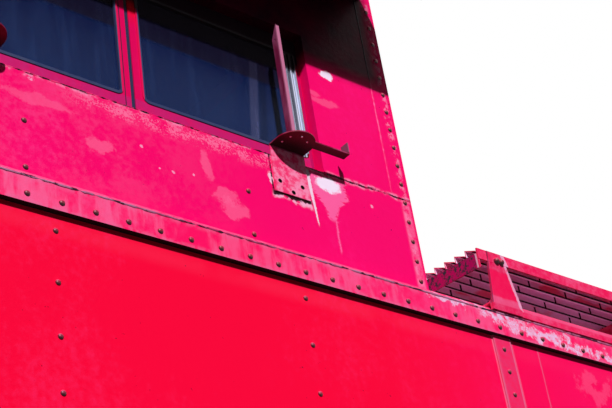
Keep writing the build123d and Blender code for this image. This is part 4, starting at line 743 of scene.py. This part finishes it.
# Undersides are painted darker as shade.
maroon_underside_shade = maroon.facing_z.under(-0.3, 0.2)
maroon_colour = maroon.mix(maroon_underside_shade * 0.85, maroon_colour, paint(80, 2, 26))
leg_top_z, leg_face = 3.572, 1.3505
leg = maroon.z.under(leg_top_z, 0.004) * abs(maroon.y).under(leg_face, 0.0005)
leg_mottle = maroon.clouds(0.035, 6, roughness=0.65).over(0.5, 0.1)
leg_colour = maroon.mix(leg_mottle, paint(246, 46, 112), paint(250, 136, 178))
maroon_colour = maroon.mix(leg, maroon_colour, leg_colour)
# The leg's bolt holes are painted near-black as shade.
for x, z in leg_holes:
    across = abs(maroon.x - middle_x) + middle_x - x
    hole_rim_shade = (across ** 2 + (maroon.z - z) ** 2).under(0.0076 ** 2, 0.000012)
    maroon_colour = maroon.mix(hole_rim_shade * leg, maroon_colour, paint(24, 4, 12))
# The underside near the wall is painted near-black as shade.
quadrant_corner_shade = maroon_underside_shade * abs(maroon.y).under(1.4, 0.03)
maroon_colour = maroon.mix(quadrant_corner_shade * 0.85, maroon_colour, paint(10, 0, 5))
tab_face = maroon.z.over(3.586, 0.002)
maroon_colour = maroon.mix(tab_face * 0.8, maroon_colour, paint(150, 84, 116))
maroon_skin = maroon.clouds(0.006, 4)
maroon.surface(maroon_colour, 0.5 + maroon_wear * 0.2, maroon_skin, 0.0006, Specular_IOR_Level=0.12)
maroon.on("wing_brackets")

wing_mauve = Finish("wing_mauve", "worn_maroon")
mauve_wear = wing_mauve.clouds(0.03, 6, stretch=(1, 1, 4)).over(0.5, 0.12)
mauve_colour = wing_mauve.mix(mauve_wear * 0.7, paint(122, 26, 68), paint(160, 80, 120))
# The wing's outer lip is lighter: worn paint and a painted highlight.
wing_lip_wear_and_highlight = abs(wing_mauve.y).over(1.4085, 0.001)
mauve_colour = wing_mauve.mix(wing_lip_wear_and_highlight * 0.7, mauve_colour, paint(214, 130, 168))
wing_mauve.surface(mauve_colour, 0.5, wing_mauve.clouds(0.004, 4), 0.0005, Specular_IOR_Level=0.12)
wing_mauve.on("wings")


# The roof walks are saw-tooth slats of folded strip, whose risers stand on bearers. Leaning brackets at the
# roof's edge, bolted at their heads, and posts inside hold the bearers. The slats' and frames' undersides
# are painted lighter for light thrown up onto them, and black lines between the teeth and at the slots are
# painted shade.
walk_red = red_enamel("roof_walk_red", "belt_rose", paint(238, 4, 84), paint(246, 96, 146), 0.5)
# The frames' undersides are painted lighter, standing in for light thrown up onto them.
walk_underside_light = walk_red.facing_z.under(-0.3, 0.2)
walk_red.colour = walk_red.mix(walk_underside_light * 0.5, walk_red.colour, paint(214, 60, 104))
bracket_pitch, bracket_width, bracket_slant = 0.825, 0.14, 0.36
bracket_rows = ((0.381, 1, 6), (-2.241, -1, 4))
for first_x, away, _ in bracket_rows:
    from_first = (walk_red.x - first_x) * away
    along = from_first % bracket_pitch
    on_bracket = abs(walk_red.y).over(1.362, 0.002) * walk_red.z.between(3.21, 3.395, 0.003)
    on_bracket = on_bracket * from_first.over(0, 0.001)
    slanted_edge = bracket_width - (walk_red.z - 3.245) * bracket_slant
    foot_angle = on_bracket * walk_red.z.under(3.236, 0.001)
    walk_red.colour = walk_red.mix(foot_angle * 0.6, walk_red.colour, paint(252, 98, 150))
    hot_foot = on_bracket * (walk_red.z + walk_red.clouds(0.05, 3) * 0.03).between(3.252, 3.345, 0.006)
    walk_red.colour = walk_red.mix(hot_foot * 0.8, walk_red.colour, paint(255, 2, 84))
    # A pale line along the slanted edge is a painted highlight, broken up like worn paint.
    slant_edge_highlight = (abs(along - slanted_edge + 0.011) - walk_red.mottle * 0.016).under(0.003, 0.002)
    slant_edge_highlight = slant_edge_highlight * on_bracket * walk_red.clouds(0.03, 5).over(0.36, 0.08)
    walk_red.colour = walk_red.mix(slant_edge_highlight * 0.8, walk_red.colour, paint(240, 176, 214))
    shaded_edge = along.under(0.004, 0.001) * on_bracket
    walk_red.colour = walk_red.mix(shaded_edge * 0.8, walk_red.colour, paint(70, 40, 70))
bar_from_middle = 1.272
end_bar = abs(abs(walk_red.x - middle_x) - bar_from_middle).under(0.0034, 0.0004)
end_bar = end_bar * abs(walk_red.y).under(1.386, 0.001)
bar_scuffs = walk_red.clouds(0.02, 6, roughness=0.7).over(0.52, 0.06)
bar_colour = walk_red.mix(bar_scuffs, paint(184, 16, 104), paint(58, 52, 70))
bar_colour = walk_red.mix(abs(walk_red.y).over(1.379, 0.001), bar_colour, paint(240, 196, 226))
walk_red.colour = walk_red.mix(end_bar, walk_red.colour, bar_colour)
walk_red.surface(walk_red.colour, walk_red.rough, walk_red.skin, 0.001, Specular_IOR_Level=0.06)
walk_red.on("walk_frames_left", "walk_frames_right")
bolt_y, bolt_z = 1.3925, 3.366
for hand, label in hands:
    places = [
        (first_x + away * (in_from_edge + bracket_pitch * number), hand * bolt_y, bolt_z)
        for first_x, away, brackets in bracket_rows
        for number in range(brackets)
        for in_from_edge in (0.042, 0.064)
    ]
    heads(f"walk_bolts_{label}", places, (0, hand, 0.1), 0.0125, 0.014, rivet_red)

tread_red = red_enamel("roof_tread_red", "belt_rose", paint(236, 6, 84), paint(250, 100, 150), 0.5)
slot_x, slot_pitch = 0.6995, 0.1905
from_slot = abs((tread_red.x - slot_x + slot_pitch / 2) % slot_pitch - slot_pitch / 2)
across_slot = from_slot.under(0.0045, 0.0012)
first_lip_y, slat_pitch = 1.385, 0.049
from_lip = (first_lip_y - abs(tread_red.y)) % slat_pitch
bearer_y, bearer_z, walk_slope = 1.393, 3.378, 0.1
over_bearer = tread_red.z - bearer_z - (bearer_y - abs(tread_red.y)) * walk_slope
# The slats' undersides and outward faces are painted near-white pink, standing in for light thrown up onto
# them.
tread_underside_light = tread_red.facing_z.under(-0.2, 0.1) | (tread_red.facing_y * tread_red.y).over(0.64, 0.08)
tread_red.colour = tread_red.mix(tread_underside_light, tread_red.colour, paint(255, 204, 246))
red_slats = tread_underside_light * tread_red.clouds(0.09, 3, stretch=(3, 1, 1)).over(0.6, 0.04)
tread_red.colour = tread_red.mix(red_slats * 0.7, tread_red.colour, paint(255, 40, 120))
# The slots across the risers are painted black as shade.
on_riser = from_lip.over(0.0425, 0.0002)
tread_red.colour = tread_red.mix(across_slot * on_riser, tread_red.colour, paint(16, 2, 8))
# Black lines under each tread near its lip and at the foot of each riser on the bearer are painted shade.
gap_shade_lines = from_lip.under(0.0235, 0.0015) * tread_red.facing_z.under(-0.2, 0.1)
gap_shade_lines = gap_shade_lines | on_riser * over_bearer.under(0.003, 0.001)
tread_red.colour = tread_red.mix(gap_shade_lines, tread_red.colour, paint(12, 2, 8))
tread_red.surface(tread_red.colour, tread_red.rough, tread_red.skin, 0.001, Specular_IOR_Level=0.06)
tread_red.on("walk_slats_left", "walk_slats_right")


# The railings stand on the end sills, and are bar and pipe like the grab irons and the ladders, in red that
# is worn to brown steel in places. The hand brakes are geared housings with spoked wheels, cast, and black.
rail_red = red_enamel("rail_red", "rail_red", paint(232, 2, 58), paint(246, 80, 116), 0.35)
gripped = rail_red.clouds(0.06, 5).over(0.6, 0.06)
rail_red.colour = rail_red.mix(gripped, rail_red.colour, paint(98, 56, 44))
rail_red.surface(rail_red.colour, 0.45 + gripped * 0.3, rail_red.skin, 0.0008, Specular_IOR_Level=0.2)
rail_red.on("railings", "ladders", "ladder_hoops")

brake_iron = Finish("brake_iron", "frame_black")
brake_worn = brake_iron.clouds(0.05, 6).over(0.56, 0.08)
brake_colour = brake_iron.mix(brake_worn * 0.8, paint(40, 37, 38), paint(108, 66, 46))
brake_iron.surface(brake_colour, 0.5 + brake_worn * 0.3, brake_iron.clouds(0.01, 4), 0.001)
brake_iron.on("brake_housings", "brake_wheel_a", "brake_wheel_b")


# Inside, the bunks and the cupola's seats on their lockers are in the grey-green enamel of the lining,
# chipped and worn brown with use.
cabin_green = Finish("cabin_green_enamel", "cabin_green")
green_wear = cabin_green.clouds(0.07, 6).over(0.62, 0.05)
green_shade = cabin_green.clouds(0.6).over(0.5, 0.2)
green_colour = cabin_green.mix(green_shade * 0.4, paint(128, 146, 132), paint(108, 122, 110))
green_colour = cabin_green.mix(green_wear, green_colour, paint(92, 74, 60))
cabin_green.surface(green_colour, 0.5 + green_wear * 0.3, cabin_green.clouds(0.01, 3), 0.0006)
cabin_green.on("cupola_seats", "bunks")


# The studio has a plain pale floor that throws little light back, a low sun from the photograph's side,
# small enough for sharp shadows, and a soft sun from the other side.
floor_size = 600
studio_floor = Finish("studio_floor", "floor")


def looked_at(nodes):
    """1 for rays that the eye follows, also through glass and gloss, and 0 for the light's own paths."""
    rays = ("Is Camera Ray", "Is Glossy Ray", "Is Transmission Ray")
    straight, glossy, clear = (nodes.node("LightPath", {}, output=ray) for ray in rays)
    return straight | glossy | clear


floor_tone = studio_floor.mix(studio_floor.clouds(3.0) * 0.3, (0.78, 0.78, 0.77), (0.72, 0.72, 0.71))
floor_tone = studio_floor.mix(looked_at(studio_floor), (0.05, 0.05, 0.05), floor_tone)
studio_floor.surface(floor_tone, 0.9, Specular_IOR_Level=0.1)
floor_mesh = bpy.data.meshes.new("studio_floor")
half = floor_size / 2
floor_corners = [(-half, -half, 0), (half, -half, 0), (half, half, 0), (-half, half, 0)]
floor_mesh.from_pydata(floor_corners, [], [(0, 1, 2, 3)])
floor_mesh.materials.append(studio_floor.material)
floor = bpy.data.objects.new("studio_floor", floor_mesh)
bpy.context.scene.collection.objects.link(floor)

world = bpy.data.worlds.new("studio")
bpy.context.scene.world = world
fill_strength = 0.05
sky = Nodes(world)
strength = looked_at(sky) * (1 - fill_strength) + fill_strength
sky.node("OutputWorld", [sky.node("Background", {"Color": (1, 1, 1), "Strength": strength})])


def sun(name, direction, power, angle):
    lamp = bpy.data.lights.new(name, "SUN")
    lamp.energy = power
    lamp.angle = math.radians(angle)
    holder = bpy.data.objects.new(name, lamp)
    holder.rotation_euler = Vector(direction).to_track_quat("-Z", "Y").to_euler()
    bpy.context.scene.collection.objects.link(holder)


sun("key_sun", (0.448, 1.0, -0.717), 3.75, 1.6)
sun("fill_sun", (-0.3, -1.0, -0.6), 2.4, 14)


# The camera stands beside the track and looks up past the eave at the cupola, as the photograph does. Its
# place, its turn and its lens are those that fit the rivets and the seams.
camera_place = Vector((-2.8755, -4.012, 1.068))
camera_forward = Vector((0.580792, 0.613555, 0.535005))
camera_up = Vector((-0.247784, -0.492785, 0.834126))
camera_right = camera_forward.cross(camera_up)
lens = bpy.data.cameras.new("camera")
lens.sensor_width = 36
lens.lens = 83.8
camera = bpy.data.objects.new("camera", lens)
turn = Matrix((camera_right, camera_up, -camera_forward)).transposed().to_4x4()
camera.matrix_world = Matrix.Translation(camera_place) @ turn
bpy.context.scene.collection.objects.link(camera)
bpy.context.scene.camera = camera
bpy.context.scene.view_settings.view_transform = "Standard"
